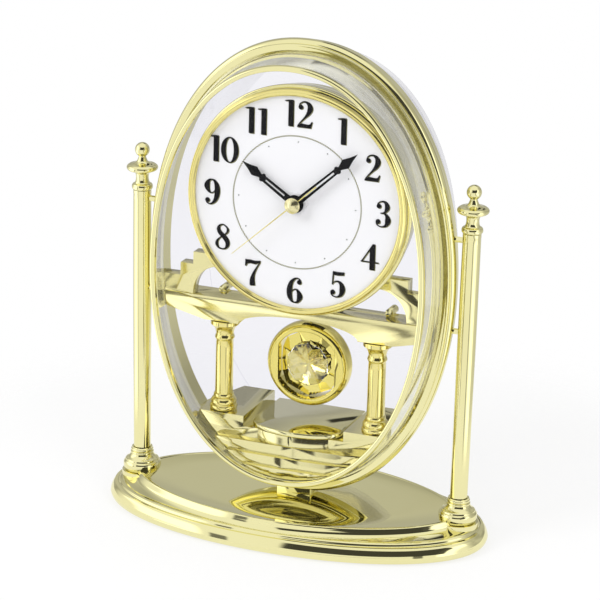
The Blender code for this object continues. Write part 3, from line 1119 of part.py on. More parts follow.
def make_wheels():
    pivot = CASE_FRONT - CASE_DEPTH - SEAT_GAP
    front_end = CASE_FRONT - CASE_WALL - SEAT_GAP
    minute_bore = ARBOR_RADIUS + RUNNING_GAP
    hour_bore = MINUTE_TUBE_RADIUS + RUNNING_GAP

    hour = on_dial(gear("hour_wheel", HOUR_TEETH, HOUR_MODULE,
                        facing(MOTION_DIRECTION, HOUR_TEETH, False), HOUR_LAYER))
    hour_top = -HOUR_HAND_Y + HAND_THICKNESS
    join(hour, on_dial(cylinder("hour_tube_guide", HOUR_TUBE_RADIUS,
                                HOUR_LAYER + WHEEL_THICKNESS / 2, hour_top)))
    cut(hour, on_dial(cylinder("hour_bore_guide", hour_bore, 0, hour_top + CUT_OVERRUN)))

    cannon = on_dial(gear("cannon_pinion", CANNON_TEETH, MOTION_MODULE,
                          facing(MOTION_DIRECTION, CANNON_TEETH, True), MOTION_LAYER))
    minute_top = -MINUTE_HAND_Y + HAND_THICKNESS
    join(cannon, on_dial(cylinder("minute_tube_guide", MINUTE_TUBE_RADIUS,
                                  CENTRE_LAYER - SEAT_GAP, minute_top)))
    cut(cannon, on_dial(cylinder("minute_bore_guide", minute_bore, 0,
                                 minute_top + CUT_OVERRUN)))

    on_dial(gear("centre_wheel", CENTRE_TEETH, CENTRE_MODULE,
                 facing(THIRD_DIRECTION, CENTRE_TEETH, False), CENTRE_LAYER,
                 hole=MINUTE_TUBE_RADIUS + SEAT_GAP))

    second_top = -SECOND_HAND_Y + HAND_THICKNESS + CAP_BORE_DEPTH
    seconds = on_dial(cylinder("seconds_wheel", ARBOR_RADIUS, pivot, second_top, BRASS))
    join(seconds,
         on_dial(gear("seconds_pinion_guide", PINION_LEAVES, THIRD_MODULE,
                      facing(THIRD_DIRECTION, PINION_LEAVES, True), THIRD_LAYER)),
         on_dial(gear("seconds_gear_guide", SECONDS_TEETH, SECONDS_MODULE,
                      facing(DRIVE_DIRECTION, SECONDS_TEETH, False), SECONDS_LAYER)))

    back_to_centre = THIRD_DIRECTION + math.pi
    third = on_dial(cylinder("third_wheel", ARBOR_RADIUS, pivot, front_end, BRASS), *THIRD)
    join(third,
         on_dial(gear("third_pinion_guide", PINION_LEAVES, CENTRE_MODULE,
                      facing(back_to_centre, PINION_LEAVES, True), CENTRE_LAYER), *THIRD),
         on_dial(gear("third_gear_guide", THIRD_TEETH, THIRD_MODULE,
                      facing(back_to_centre, THIRD_TEETH, False), THIRD_LAYER), *THIRD))

    back_to_centre = MOTION_DIRECTION + math.pi
    knob_front = pivot - LID_THICKNESS - SEAT_GAP - RUNNING_GAP
    motion = on_dial(cylinder("motion_wheel", MOTION_ARBOR_RADIUS,
                              knob_front - KNOB_BORE_DEPTH + SEAT_GAP, front_end, BRASS), *MOTION)
    join(motion,
         on_dial(gear("motion_pinion_guide", MOTION_PINION_TEETH, HOUR_MODULE,
                      facing(back_to_centre, MOTION_PINION_TEETH, True), HOUR_LAYER), *MOTION),
         on_dial(gear("motion_gear_guide", MOTION_TEETH, MOTION_MODULE,
                      facing(back_to_centre, MOTION_TEETH, False), MOTION_LAYER), *MOTION))
    knob_bore = MOTION_ARBOR_RADIUS + SEAT_GAP
    knob = [(0, knob_front - KNOB_HEIGHT), (KNOB_RADIUS, knob_front - KNOB_HEIGHT),
            (KNOB_RADIUS, knob_front), (knob_bore, knob_front),
            (knob_bore, knob_front - KNOB_BORE_DEPTH), (0, knob_front - KNOB_BORE_DEPTH)]
    on_dial(turned("set_knob", knob, WHITE_PLASTIC, KNOB_SIDES), *MOTION)

    drive = on_dial(cylinder("drive_wheel", ARBOR_RADIUS, pivot,
                             SECONDS_LAYER + WHEEL_THICKNESS + SEAT_GAP, WHITE_PLASTIC), *DRIVE)
    join(drive,
         on_dial(gear("drive_pinion_guide", PINION_LEAVES, SECONDS_MODULE,
                      facing(DRIVE_DIRECTION + math.pi, PINION_LEAVES, True),
                      SECONDS_LAYER), *DRIVE),
         on_dial(gear("drive_gear_guide", DRIVE_TEETH, DRIVE_MODULE,
                      facing(ROTOR_DIRECTION, DRIVE_TEETH, False), DRIVE_LAYER), *DRIVE))

    magnet_front = DRIVE_LAYER - ROTOR_DROP
    rotor = on_dial(cylinder("rotor", ROTOR_ARBOR_RADIUS, pivot,
                             DRIVE_LAYER + WHEEL_THICKNESS + SEAT_GAP, WHITE_PLASTIC), *ROTOR)
    join(rotor,
         on_dial(gear("rotor_pinion_guide", PINION_LEAVES, DRIVE_MODULE,
                      facing(ROTOR_DIRECTION + math.pi, PINION_LEAVES, True),
                      DRIVE_LAYER), *ROTOR),
         on_dial(cylinder("rotor_magnet_guide", ROTOR_RADIUS, magnet_front - ROTOR_THICKNESS,
                          magnet_front, sides=TURNED_SIDES), *ROTOR))
    return magnet_front - ROTOR_THICKNESS / 2


def make_case(stator_middle):
    front = CASE_FRONT
    rear = front - CASE_DEPTH
    wall = CASE_WALL
    case = block("movement_case", (-CASE_HALF_WIDTH, -CASE_BOTTOM, rear),
                 (CASE_HALF_WIDTH, CASE_TOP, front), WHITE_PLASTIC)
    room = block("case_room_guide",
                 (wall - CASE_HALF_WIDTH, wall - CASE_BOTTOM, rear - CUT_OVERRUN),
                 (CASE_HALF_WIDTH - wall, CASE_TOP - wall, front - wall))
    cut(on_dial(case), on_dial(room))
    battery_top = BATTERY_RADIUS + BATTERY_ROOM - BATTERY_DROP
    divider = block("divider_guide", (wall / 2 - CASE_HALF_WIDTH, battery_top, rear + OVERLAP),
                    (CASE_HALF_WIDTH - wall / 2, battery_top + wall, front - wall / 2))
    join(case, on_dial(divider))
    board_front = BOARD_THICKNESS - BOARD_REAR_Y
    stator_front = stator_middle + STATOR_THICKNESS / 2
    stator_edge = STATOR_LIMB / 2
    bosses = [((BOARD_RIGHT - BOARD_MARGIN, BOARD_TOP - BOARD_MARGIN), board_front),
              ((BOARD_RIGHT - BOARD_MARGIN, BOARD_MARGIN - BOARD_BOTTOM), board_front),
              ((stator_edge - STATOR_LEFT, STATOR_TOP - stator_edge), stator_front),
              ((-STATOR_RIGHT - stator_edge, STATOR_TOP - stator_edge), stator_front)]
    for middle, end in bosses:
        join(case, on_dial(cylinder("boss_guide", BOSS_RADIUS, end + SEAT_GAP,
                                    front - wall / 2), *middle))
    join(case, on_dial(cylinder("bush_guide", BUSH_RADIUS, front - wall / 2, -BUSH_FRONT_Y,
                                sides=TURNED_SIDES)))
    cut(case, on_dial(cylinder("bush_bore_guide", HOUR_TUBE_RADIUS + RUNNING_GAP,
                               front - wall - CUT_OVERRUN, CUT_OVERRUN - BUSH_FRONT_Y)))

    lid_front = rear - SEAT_GAP
    lid_rear = lid_front - LID_THICKNESS
    lid = on_dial(block("movement_lid", (-CASE_HALF_WIDTH, -CASE_BOTTOM, lid_rear),
                        (CASE_HALF_WIDTH, CASE_TOP, lid_front), WHITE_PLASTIC))
    half_length = BATTERY_LENGTH / 2 + BATTERY_ROOM
    battery_foot = -BATTERY_DROP - BATTERY_RADIUS - BATTERY_ROOM
    hatch = block("hatch_guide", (-half_length, battery_foot, lid_rear - CUT_OVERRUN),
                  (half_length, battery_top, lid_front + CUT_OVERRUN))
    arbors = ((CENTRE, ARBOR_RADIUS), (THIRD, ARBOR_RADIUS), (DRIVE, ARBOR_RADIUS),
              (ROTOR, ROTOR_ARBOR_RADIUS))
    for middle, _ in arbors:
        join(lid, on_dial(cylinder("bearing_guide", BEARING_RADIUS, lid_front - LID_THICKNESS / 2,
                                   lid_front + BEARING_LENGTH), *middle))
    for middle, radius in arbors:
        cut(lid, on_dial(cylinder("bearing_bore_guide", radius + RUNNING_GAP,
                                  lid_front - SEAT_GAP, lid_front + BEARING_LENGTH + CUT_OVERRUN),
                         *middle))
    cut(lid, on_dial(hatch), on_dial(cylinder("knob_bore_guide", MOTION_ARBOR_RADIUS + RUNNING_GAP,
                                              lid_rear - CUT_OVERRUN, lid_front + CUT_OVERRUN),
                                     *MOTION))


def make_electrics(stator_middle):
    rear, front = (stator_middle - STATOR_THICKNESS / 2, stator_middle + STATOR_THICKNESS / 2)
    limb = STATOR_LIMB
    bottom = ROTOR[1] - limb / 2
    outer = [(-STATOR_LEFT, bottom), (-STATOR_RIGHT, bottom), (-STATOR_RIGHT, STATOR_TOP),
             (-STATOR_LEFT, STATOR_TOP)]
    inner = [(limb - STATOR_LEFT, bottom + limb), (-STATOR_RIGHT - limb, bottom + limb),
             (-STATOR_RIGHT - limb, STATOR_TOP - limb), (limb - STATOR_LEFT, STATOR_TOP - limb)]
    stator = on_dial(prism("stator", [outer, inner], rear, STATOR_THICKNESS, STEEL))
    ring = cylinder("stator_ring_guide", STATOR_RING_RADIUS, rear, front, sides=TURNED_SIDES)
    bore = cylinder("stator_bore_guide", ROTOR_RADIUS + RUNNING_GAP, rear - CUT_OVERRUN,
                    front + CUT_OVERRUN, sides=TURNED_SIDES)
    join(stator, on_dial(ring, *ROTOR))
    cut(stator, on_dial(bore, *ROTOR))

    level = DIAL_HEIGHT + STATOR_TOP - limb / 2
    coil = cylinder("coil", COIL_RADIUS, -COIL_LENGTH / 2, COIL_LENGTH / 2, COPPER, TURNED_SIDES)
    place(coil, (-COIL_X, -stator_middle, level), ALONG_X)
    half_depth = STATOR_THICKNESS / 2 + SEAT_GAP
    half_height = limb / 2 + SEAT_GAP
    cut(coil, block("coil_hole_guide",
                    (-COIL_X - COIL_LENGTH, -stator_middle - half_depth, level - half_height),
                    (COIL_LENGTH - COIL_X, half_depth - stator_middle, level + half_height)))

    board_left = THIRD[0] + BEARING_RADIUS + BOARD_GAP
    on_dial(block("circuit_board", (board_left, -BOARD_BOTTOM, -BOARD_REAR_Y),
                  (BOARD_RIGHT, BOARD_TOP, BOARD_THICKNESS - BOARD_REAR_Y), GREEN_BOARD))

    half = BATTERY_LENGTH / 2
    level = DIAL_HEIGHT - BATTERY_DROP
    battery = turned("battery", [(0, -half), (BATTERY_RADIUS, -half),
                                 (BATTERY_RADIUS, half - BATTERY_NUB_LENGTH),
                                 (BATTERY_NUB_RADIUS, half - BATTERY_NUB_LENGTH),
                                 (BATTERY_NUB_RADIUS, half), (0, half)], DARK_PLASTIC)
    place(battery, (0, BATTERY_Y, level), ALONG_X)
    far = CASE_HALF_WIDTH - CASE_WALL - SEAT_GAP
    near = half + SEAT_GAP
    for name, side in (("contact_left", -1), ("contact_right", 1)):
        ends = sorted((side * far, side * (far - CONTACT_THICKNESS)))
        plate = block(name, (ends[0], BATTERY_Y - CONTACT_HALF_DEPTH, level - CONTACT_HALF_HEIGHT),
                      (ends[1], BATTERY_Y + CONTACT_HALF_DEPTH, level + CONTACT_HALF_HEIGHT),
                      STEEL)
        button = cylinder("button_guide", CONTACT_BUTTON_RADIUS, near, far - CONTACT_THICKNESS / 2)
        join(plate, place(button, (0, BATTERY_Y, level), tuple(side * angle for angle in ALONG_X)))


# Hands
def hand_outline(boss, shares, length, half_width, turn):
    """Round boss with a blade, drawn pointing up and then turned clockwise."""
    blade = [(across * half_width, along * length) for along, across in shares]
    opening = math.asin(blade[0][0] / boss)
    steps = TURNED_SIDES - 2
    sweep = math.tau - 2 * opening
    start = math.pi / 2 + opening
    round_end = [(boss * math.cos(start + sweep * step / steps),
                  boss * math.sin(start + sweep * step / steps)) for step in range(steps + 1)]
    left = [(-x, y) for x, y in reversed(blade) if x]
    return turned_clockwise(round_end + blade + left, turn)


def slot_outline(shares, length, half_width, turn):
    (near, near_width), (end, end_width) = shares
    points = [(-near_width * half_width, near * length), (near_width * half_width, near * length),
              (end_width * half_width, end * length), (-end_width * half_width, end * length)]
    return turned_clockwise(points, turn)


def make_hands():
    on_dial(prism("hour_hand", [
        hand_outline(HOUR_HAND_BOSS, HOUR_HAND_SHARES, HOUR_HAND_LENGTH, HOUR_HAND_HALF_WIDTH,
                     HOUR_HAND_TURN),
        slot_outline(HOUR_SLOT_SHARES, HOUR_HAND_LENGTH, HOUR_HAND_HALF_WIDTH, HOUR_HAND_TURN),
        circle(HOUR_TUBE_RADIUS + SEAT_GAP)], -HOUR_HAND_Y, HAND_THICKNESS, BLACK))
    on_dial(prism("minute_hand", [
        hand_outline(MINUTE_HAND_BOSS, MINUTE_HAND_SHARES, MINUTE_HAND_LENGTH,
                     MINUTE_HAND_HALF_WIDTH, MINUTE_HAND_TURN),
        slot_outline(MINUTE_SLOT_SHARES, MINUTE_HAND_LENGTH, MINUTE_HAND_HALF_WIDTH,
                     MINUTE_HAND_TURN),
        circle(MINUTE_TUBE_RADIUS + SEAT_GAP)], -MINUTE_HAND_Y, HAND_THICKNESS, BLACK))
    width = SECOND_HAND_HALF_WIDTH
    hub = SECOND_HUB_RADIUS
    steps = TURNED_SIDES // 2
    opening = math.asin(width / hub)
    arc = [(hub * math.cos(opening + (math.pi - 2 * opening) * step / steps),
            hub * math.sin(opening + (math.pi - 2 * opening) * step / steps))
           for step in range(steps + 1)]
    arc = [(y, x) for x, y in arc]
    needle = ([(width / 2, SECOND_HAND_LENGTH), (-width / 2, SECOND_HAND_LENGTH)]
              + [(-x, y) for x, y in arc]
              + [(-width, -SECOND_TAIL_LENGTH), (width, -SECOND_TAIL_LENGTH)]
              + list(reversed(arc)))
    on_dial(prism("second_hand", [turned_clockwise(needle, SECOND_HAND_TURN),
                                  circle(ARBOR_RADIUS + SEAT_GAP)],
                  -SECOND_HAND_Y, HAND_THICKNESS, GOLD))
    base = -SECOND_HAND_Y + HAND_THICKNESS + SEAT_GAP
    bore = ARBOR_RADIUS + SEAT_GAP
    cap = [(0, base + CAP_BORE_DEPTH), (bore, base + CAP_BORE_DEPTH), (bore, base)]
    cap += scaled(CAP_SHARES, CAP_RADIUS, CAP_HEIGHT, base)
    on_dial(turned("hand_cap", cap, RICH_GOLD))


make_base()
make_pins(make_frame(), make_posts())
make_front()
make_rear()
make_dial()
CORE = make_core("oval_core_guide")
make_bridge(CORE)
make_platform(CORE)
make_pendulum()
make_motor()
STATOR_MIDDLE = make_wheels()
make_case(STATOR_MIDDLE)
make_electrics(STATOR_MIDDLE)
make_hands()
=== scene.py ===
import math

import bmesh
import bpy
from mathutils import Matrix, Vector


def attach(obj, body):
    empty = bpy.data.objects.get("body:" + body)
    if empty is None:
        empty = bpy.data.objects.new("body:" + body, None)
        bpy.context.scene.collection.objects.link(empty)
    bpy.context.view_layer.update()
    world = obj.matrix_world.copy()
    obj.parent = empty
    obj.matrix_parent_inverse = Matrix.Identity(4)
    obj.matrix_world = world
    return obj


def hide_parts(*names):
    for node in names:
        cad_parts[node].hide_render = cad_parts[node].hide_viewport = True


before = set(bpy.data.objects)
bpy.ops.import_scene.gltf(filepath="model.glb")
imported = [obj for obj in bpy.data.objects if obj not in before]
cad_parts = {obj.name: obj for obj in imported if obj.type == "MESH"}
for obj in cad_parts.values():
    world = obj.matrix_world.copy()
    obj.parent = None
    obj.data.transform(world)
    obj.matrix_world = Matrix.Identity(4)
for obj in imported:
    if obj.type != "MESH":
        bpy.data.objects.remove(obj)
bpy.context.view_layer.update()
mm = 0.001
turn = math.tau

# The clock stands on z = 0 and looks along -y. Its oval leans back on the base
stance = {
    "lean": math.radians(3.7), "leanHeight": 20 * mm, "shiftY": -2.6 * mm,
    "ovalHeight": 146.5 * mm, "ovalStretch": 39.2 * mm, "ovalPower": 2.1, "ovalSides": 160,
    "dialHeight": 186.2 * mm, "gap": 0.3 * mm, "lap": 0.6 * mm, "overrun": 2 * mm,
}
gap, lap, overrun = stance["gap"], stance["lap"], stance["overrun"]
pivot = Matrix.Translation((0, 0, stance["leanHeight"]))
standing = Matrix.Translation((0, stance["shiftY"], 0))
leaned = standing @ pivot @ Matrix.Rotation(-stance["lean"], 4, "X") @ pivot.inverted()
facing = Matrix.Rotation(math.radians(90), 4, "X")  # local z points forward, along -y
bothSides = (("left", -1), ("right", 1))


def at(x, y, z):  # a place on the leaning part of the clock
    return leaned @ Matrix.Translation((x, y, z))


onDial = at(0, 0, stance["dialHeight"]) @ facing


# Node sums written as plain expressions
class Value:
    def __init__(self, shade, socket):
        self.shade, self.socket = shade, socket

    def __add__(self, other):
        return self.shade.maths("ADD", self, other)

    def __sub__(self, other):
        return self.shade.maths("SUBTRACT", self, other)

    def __rsub__(self, other):
        return self.shade.maths("SUBTRACT", other, self)

    def __mul__(self, other):
        return self.shade.maths("MULTIPLY", self, other)

    def __truediv__(self, other):
        return self.shade.maths("DIVIDE", self, other)

    def __rtruediv__(self, other):
        return self.shade.maths("DIVIDE", other, self)

    def __pow__(self, other):
        return self.shade.maths("POWER", self, other)

    def __neg__(self):
        return self * -1.0

    __radd__, __rmul__ = __add__, __mul__

    def __getitem__(self, name):
        return Value(self.shade, self.socket.node.outputs[name])


class Shade:
    def __init__(self, owner):
        if not isinstance(owner, bpy.types.GeometryNodeTree):
            owner.use_nodes = True
        self.tree = getattr(owner, "node_tree", owner)
        self.tree.nodes.clear()

    def add(self, kind, settings=None, sockets=None, out=0):
        node = self.tree.nodes.new(kind)
        for name, value in (settings or {}).items():
            setattr(node, name, value)
        pairs = sockets.items() if isinstance(sockets, dict) else enumerate(sockets or ())
        for name, value in pairs:
            if isinstance(value, Value):
                self.tree.links.new(value.socket, node.inputs[name])
            else:
                node.inputs[name].default_value = value
        return Value(self, node.outputs[out]) if node.outputs else node

    def maths(self, operation, *parts, **settings):
        return self.add("ShaderNodeMath", {"operation": operation, **settings}, parts)

    def mix(self, factor, a, b):
        return self.add("ShaderNodeMix", {"data_type": "RGBA"}, {0: factor, 6: a, 7: b}, out=2)

    def blendShaders(self, factor, a, b):
        return self.add("ShaderNodeMixShader", {}, [factor, a, b])

    def step(self, value, low, high):  # a soft step from 0 to 1
        return self.add("ShaderNodeMapRange", {"interpolation_type": "SMOOTHSTEP"},
                        {"Value": value, "From Min": low, "From Max": high})

    def place(self, out="Object"):
        return self.add("ShaderNodeTexCoord", out=out)

    def axes(self, vector):
        return self.add("ShaderNodeSeparateXYZ", {}, [vector])

    def noise(self, scale, detail=2.0, out="Object"):
        return self.add("ShaderNodeTexNoise", {}, {"Vector": self.place(out), "Scale": scale,
                                                   "Detail": detail})

    def bump(self, strength, depth, height):
        return self.add("ShaderNodeBump", {}, {"Strength": strength, "Distance": depth,
                                               "Height": height})

    def surface(self, sockets):
        return self.add("ShaderNodeBsdfPrincipled", {}, sockets)

    def seeThrough(self, colour):
        return self.add("ShaderNodeBsdfTransparent", {}, {"Color": opaque(colour)})

    def finish(self, surface, output="ShaderNodeOutputMaterial"):
        self.add(output, {}, {"Surface": surface})


def opaque(colour):
    return (*colour, 1.0)


def newMaterial(name):
    material = bpy.data.materials.new(name)
    return material, Shade(material)


# Bright plating over moulded plastic: a mirror with a faint swell and a little tint
def plating(name, look):
    material, shade = newMaterial(name)
    broad = shade.noise(look["tintScale"])
    fine = shade.noise(look["swellScale"], look["swellDetail"])
    dust = shade.noise(look["dustScale"], look["dustDetail"])
    shade.finish(shade.surface({
        "Base Color": shade.mix(broad, opaque(look["colour"]), opaque(look["tint"])),
        "Metallic": 1.0, "Normal": shade.bump(look["swell"], look["swellDepth"], fine),
        "Roughness": look["roughness"] + (dust - 0.5) * look["dust"]}))
    return material


# Anything moulded, rolled or painted, with its own grain
def plain(name, look):
    material, shade = newMaterial(name)
    grain = shade.noise(look["grainScale"], look["grainDetail"])
    broad = shade.noise(look["grainScale"] / look["broader"])
    darker = tuple(part * (1 - look["shading"]) for part in look["colour"])
    shade.finish(shade.surface({
        "Base Color": shade.mix(broad, opaque(look["colour"]), opaque(darker)),
        "Metallic": look["metallic"], "Coat Weight": look["coat"],
        "Specular IOR Level": look["sheen"],
        "Normal": shade.bump(look["grain"], look["grainDepth"], grain),
        "Roughness": look["roughness"] + (grain - 0.5) * look["roughness"] * look["uneven"]}))
    return material


# Clear moulded plastic: seen through in the middle, pale and shiny where it turns away
def clear(name, look):
    material, shade = newMaterial(name)
    slant = shade.add("ShaderNodeLayerWeight", {}, {"Blend": 0.5}, out="Facing")
    cover = shade.step(slant, look["from"], look["to"]) * look["edge"]
    if "wallEdge" in look:  # the side wall shines more than the broad face in front of it
        lean, place = stance["lean"], shade.axes(shade.place())
        deep = place["Y"] * math.cos(lean) - place["Z"] * math.sin(lean)
        start = look["wallStart"] + stance["shiftY"] * math.cos(lean) \
            - stance["leanHeight"] * math.sin(lean)
        wall = shade.step(deep, start, start + look["wallBlend"])
        dense = shade.step(slant, look["wallFrom"], look["wallTo"])
        cover = cover * (1.0 - wall) + dense * wall * look["wallEdge"]
    haze = shade.noise(look["hazeScale"]) * look["haze"]
    shell = shade.surface({
        "Base Color": opaque(look["colour"]), "Metallic": look["mirror"],
        "Roughness": look["roughness"],
        "Normal": shade.bump(look["swell"], look["swellDepth"], shade.noise(look["swellScale"]))})
    shade.finish(shade.blendShaders(cover + haze, shade.seeThrough(look["through"]), shell))
    return material


def cutCrystal(name, look):
    material, shade = newMaterial(name)
    stone = shade.surface({
        "Base Color": shade.mix(shade.noise(look["fleckScale"]), opaque(look["colour"]),
                                opaque(look["tint"])),
        "Roughness": look["roughness"], "IOR": look["ior"], "Transmission Weight": 1.0})
    shadow = shade.add("ShaderNodeLightPath", out="Is Shadow Ray")
    shade.finish(shade.blendShaders(shadow, stone, shade.seeThrough(look["colour"])))
    return material


# Every kind's shared values come first, and a finish names what it changes
platingLook = {
    "shared": {"tintScale": 22.0, "swellScale": 45.0, "swell": 0.05, "swellDepth": 0.1 * mm,
               "swellDetail": 1.0, "dustScale": 260.0, "dustDetail": 3.0, "dust": 0.03,
               "roughness": 0.045},
    "paleGold": {"colour": (0.87, 0.83, 0.46), "tint": (0.84, 0.78, 0.4)},
    "richGold": {"colour": (0.86, 0.76, 0.25), "tint": (0.82, 0.7, 0.18)},
    "pillarGold": {"colour": (0.88, 0.8, 0.34), "tint": (0.85, 0.74, 0.27)},
    "satinGold": {"colour": (0.87, 0.82, 0.44), "tint": (0.84, 0.77, 0.38), "roughness": 0.13},
    "spunGold": {"colour": (0.88, 0.82, 0.5), "tint": (0.84, 0.77, 0.42), "roughness": 0.22,
                 "dust": 0.12, "dustScale": 900.0},
}
plainLook = {
    "shared": {"metallic": 0.0, "coat": 0.0, "sheen": 0.5, "grain": 0.1, "grainDepth": 0.08 * mm,
               "grainScale": 900.0, "grainDetail": 4.0, "broader": 12, "uneven": 0.4,
               "shading": 0.25},
    "dialWhite": {"colour": (0.9, 0.9, 0.925), "roughness": 0.45, "grain": 0.05, "shading": 0.02},
    "blackEnamel": {"colour": (0.008, 0.008, 0.01), "roughness": 0.32, "grainScale": 500.0,
                    "grain": 0.04, "shading": 0.3, "sheen": 0.12},
    "shadowPrint": {"colour": (0.3, 0.29, 0.14), "roughness": 0.4, "grain": 0.05, "shading": 0.3,
                    "metallic": 0.3},
    "darkPlastic": {"colour": (0.035, 0.035, 0.037), "roughness": 0.5, "grainScale": 700.0,
                    "grain": 0.25},
    "whitePlastic": {"colour": (0.8, 0.8, 0.78), "roughness": 0.4, "grainScale": 600.0,
                     "grain": 0.15, "shading": 0.05},
    "steel": {"colour": (0.62, 0.63, 0.64), "roughness": 0.25, "grainScale": 800.0,
              "shading": 0.12, "metallic": 1.0},
    "plainBrass": {"colour": (0.7, 0.52, 0.22), "roughness": 0.28, "grainScale": 800.0,
                   "grain": 0.12, "shading": 0.18, "metallic": 1.0},
    "copperWire": {"colour": (0.62, 0.24, 0.1), "roughness": 0.35, "grainScale": 1500.0,
                   "grain": 0.4, "metallic": 1.0},
    "greyRubber": {"colour": (0.07, 0.07, 0.07), "roughness": 0.8, "grain": 0.4},
    "greenBoard": {"colour": (0.02, 0.16, 0.06), "roughness": 0.35, "grainScale": 500.0,
                   "shading": 0.3, "coat": 0.5},
}
clearLook = {
    "shared": {"mirror": 0.85, "roughness": 0.03, "haze": 0.004, "hazeScale": 12.0, "swell": 0.08,
               "swellDepth": 0.2 * mm, "swellScale": 30.0, "edge": 0.5, "from": 0.3, "to": 1.0},
    "clearFront": {"colour": (0.94, 0.93, 0.82), "through": (0.99, 0.99, 0.992),
                   "wallEdge": 0.8, "wallFrom": 0.15, "wallTo": 0.5, "wallStart": -23.7 * mm,
                   "wallBlend": 1.5 * mm},
    "clearPlastic": {"colour": (0.9, 0.9, 0.93), "through": (0.955, 0.953, 0.972)},
}
crystalLook = {
    "shared": {"fleckScale": 90.0, "roughness": 0.0, "ior": 1.75},
    "cutCrystal": {"colour": (0.97, 0.97, 1.0), "tint": (0.93, 0.94, 0.99)},
}
finishes = {}
for make, looks in ((plating, platingLook), (plain, plainLook), (clear, clearLook),
                    (cutCrystal, crystalLook)):
    shared = looks.pop("shared")
    for name, look in looks.items():
        finishes[name] = make(name, {**shared, **look})
print("finishes ready:", len(finishes))

# Mesh helpers. Angles are in degrees: an edge that turns further than sharp stays crisp
meshing = {"weld": 0.002 * mm, "sharp": 32, "bevelWeld": 0.004 * mm, "flat": 0.6, "bevelSharp": 35,
           "curveSteps": 6, "quarterSteps": 28}


def tidyMesh(mesh, sharp):
    work = bmesh.new()
    work.from_mesh(mesh)
    bmesh.ops.remove_doubles(work, verts=work.verts, dist=meshing["weld"])
    bmesh.ops.recalc_face_normals(work, faces=work.faces)
    work.to_mesh(mesh)
    work.free()
    crisp(mesh, sharp)


def crisp(mesh, sharp):
    mesh.shade_smooth()
    mesh.set_sharp_from_angle(angle=math.radians(sharp))


def newItem(name, points, faces=(), edges=()):
    mesh = bpy.data.meshes.new(name)
    mesh.from_pydata(points, edges, faces)
    item = bpy.data.objects.new(name, mesh)
    bpy.context.collection.objects.link(item)
    return item


# A guide is a tidy item in its place, to be cut, joined or adopted
def guide(name, shape, place=leaned, sharp=meshing["sharp"]):
    points, faces = shape
    item = newItem(name, [place @ Vector(point) for point in points], faces)
    tidyMesh(item.data, sharp)
    return item


def addObject(name, mesh, finish, body="clock", nodes=()):
    piece = bpy.data.objects.new(name, mesh)
    bpy.context.collection.objects.link(piece)
    mesh.materials.clear()
    mesh.materials.append(finishes[finish])
    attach(piece, body)
    if nodes:
        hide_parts(*nodes)
    return piece


# A finished guide becomes a piece of the clock
def adopt(item, name, finish, body="clock", nodes=()):
    mesh = item.data
    bpy.data.objects.remove(item)
    mesh.name = name
    return addObject(name, mesh, finish, body, nodes)


# Faces over rows of points that are as long as each other
def skin(rows, loop=False):
    count = len(rows[0])
    points = [point for row in rows for point in row]
    faces = []
    for row in range(len(rows) if loop else len(rows) - 1):
        low, high = row * count, (row + 1) % len(rows) * count
        for side in range(count):
            after = (side + 1) % count
            faces.append((low + side, low + after, high + after, high + side))
    if not loop:
        faces += [tuple(range(count)), tuple(range(len(points) - count, len(points)))]
    return points, faces


def arcPoints(middle, radius, start, end, steps):
    return [(middle[0] + radius * math.cos(start + (end - start) * step / steps),
             middle[1] + radius * math.sin(start + (end - start) * step / steps))
            for step in range(steps + 1)]


def oval(halfX, halfY, sides, middle=(0, 0)):
    return [(middle[0] + halfX * math.cos(turn * side / sides),
             middle[1] + halfY * math.sin(turn * side / sides)) for side in range(sides)]


def superellipse(halfWidth, halfHeight, power, sides):
    def swell(part):
        return math.copysign(abs(part) ** (2 / power), part)

    return [(halfWidth * swell(x), halfHeight * swell(y)) for x, y in oval(1, 1, sides)]


def ovalRow(halfWidth, y, sides=stance["ovalSides"]):
    points = superellipse(halfWidth, halfWidth + stance["ovalStretch"], stance["ovalPower"], sides)
    return [(x, y, stance["ovalHeight"] + z) for x, z in points]


# A quarter of an oval, from its middle outwards
def quarter(across, foot, rise, steps=meshing["quarterSteps"]):
    angles = [step / steps * math.pi / 2 for step in range(steps + 1)]
    return [(across * math.sin(angle), foot + rise * math.cos(angle)) for angle in angles]


def lathe(profile, sides, loop=False):
    return skin([[(x, y, height) for x, y in oval(radius, radius, sides)]
                 for radius, height in profile], loop)


# A flat outline drawn out along local z
def slab(outline, start, end):
    return skin([[(x, y, height) for x, y in outline] for height in (start, end)])


# The same, but the outline stands in x and z, and is drawn out along y
def upright(outline, front, rear):
    return skin([[(x, y, z) for x, z in outline] for y in (front, rear)])


def box(halfX, low, high):  # an oblong outline, level to left and right
    return [(-halfX, low), (halfX, low), (halfX, high), (-halfX, high)]


def mirrored(half):
    return half + [(-x, y) for x, y in reversed(half) if x > 0]


# A line through points: each run between corners is rounded, and a corner has a third item
def smooth(points, steps=meshing["curveSteps"]):
    line, run = [], []
    for point in points:
        run.append(Vector(point[:2]))
        if len(point) > 2 or point is points[-1]:
            line += curveThrough(run, steps)
            run = [run[-1]]
    return line + [tuple(run[-1])]


def curveThrough(run, steps):
    if len(run) < 3:
        return [tuple(run[0])] if len(run) == 2 else []
    ends = [run[0] * 2 - run[1]] + run + [run[-1] * 2 - run[-2]]
    line = []
    for a, b, c, d in zip(ends, ends[1:], ends[2:], ends[3:]):
        for step in range(steps):
            t = step / steps
            line.append(tuple(0.5 * (2 * b + (c - a) * t + (2 * a - 5 * b + 4 * c - d) * t ** 2
                                     + (3 * b - a - 3 * c + d) * t ** 3)))
    return line


# A line of shares at its real size, and a line of steps in mm from a corner
def scaled(line, width, height, start=0.0):
    return [(across * width, start + up * height) for across, up in line]


def stepped(corner, steps):
    return [(corner[0] + step[0] * mm, corner[1] + step[1] * mm, *step[2:]) for step in steps]


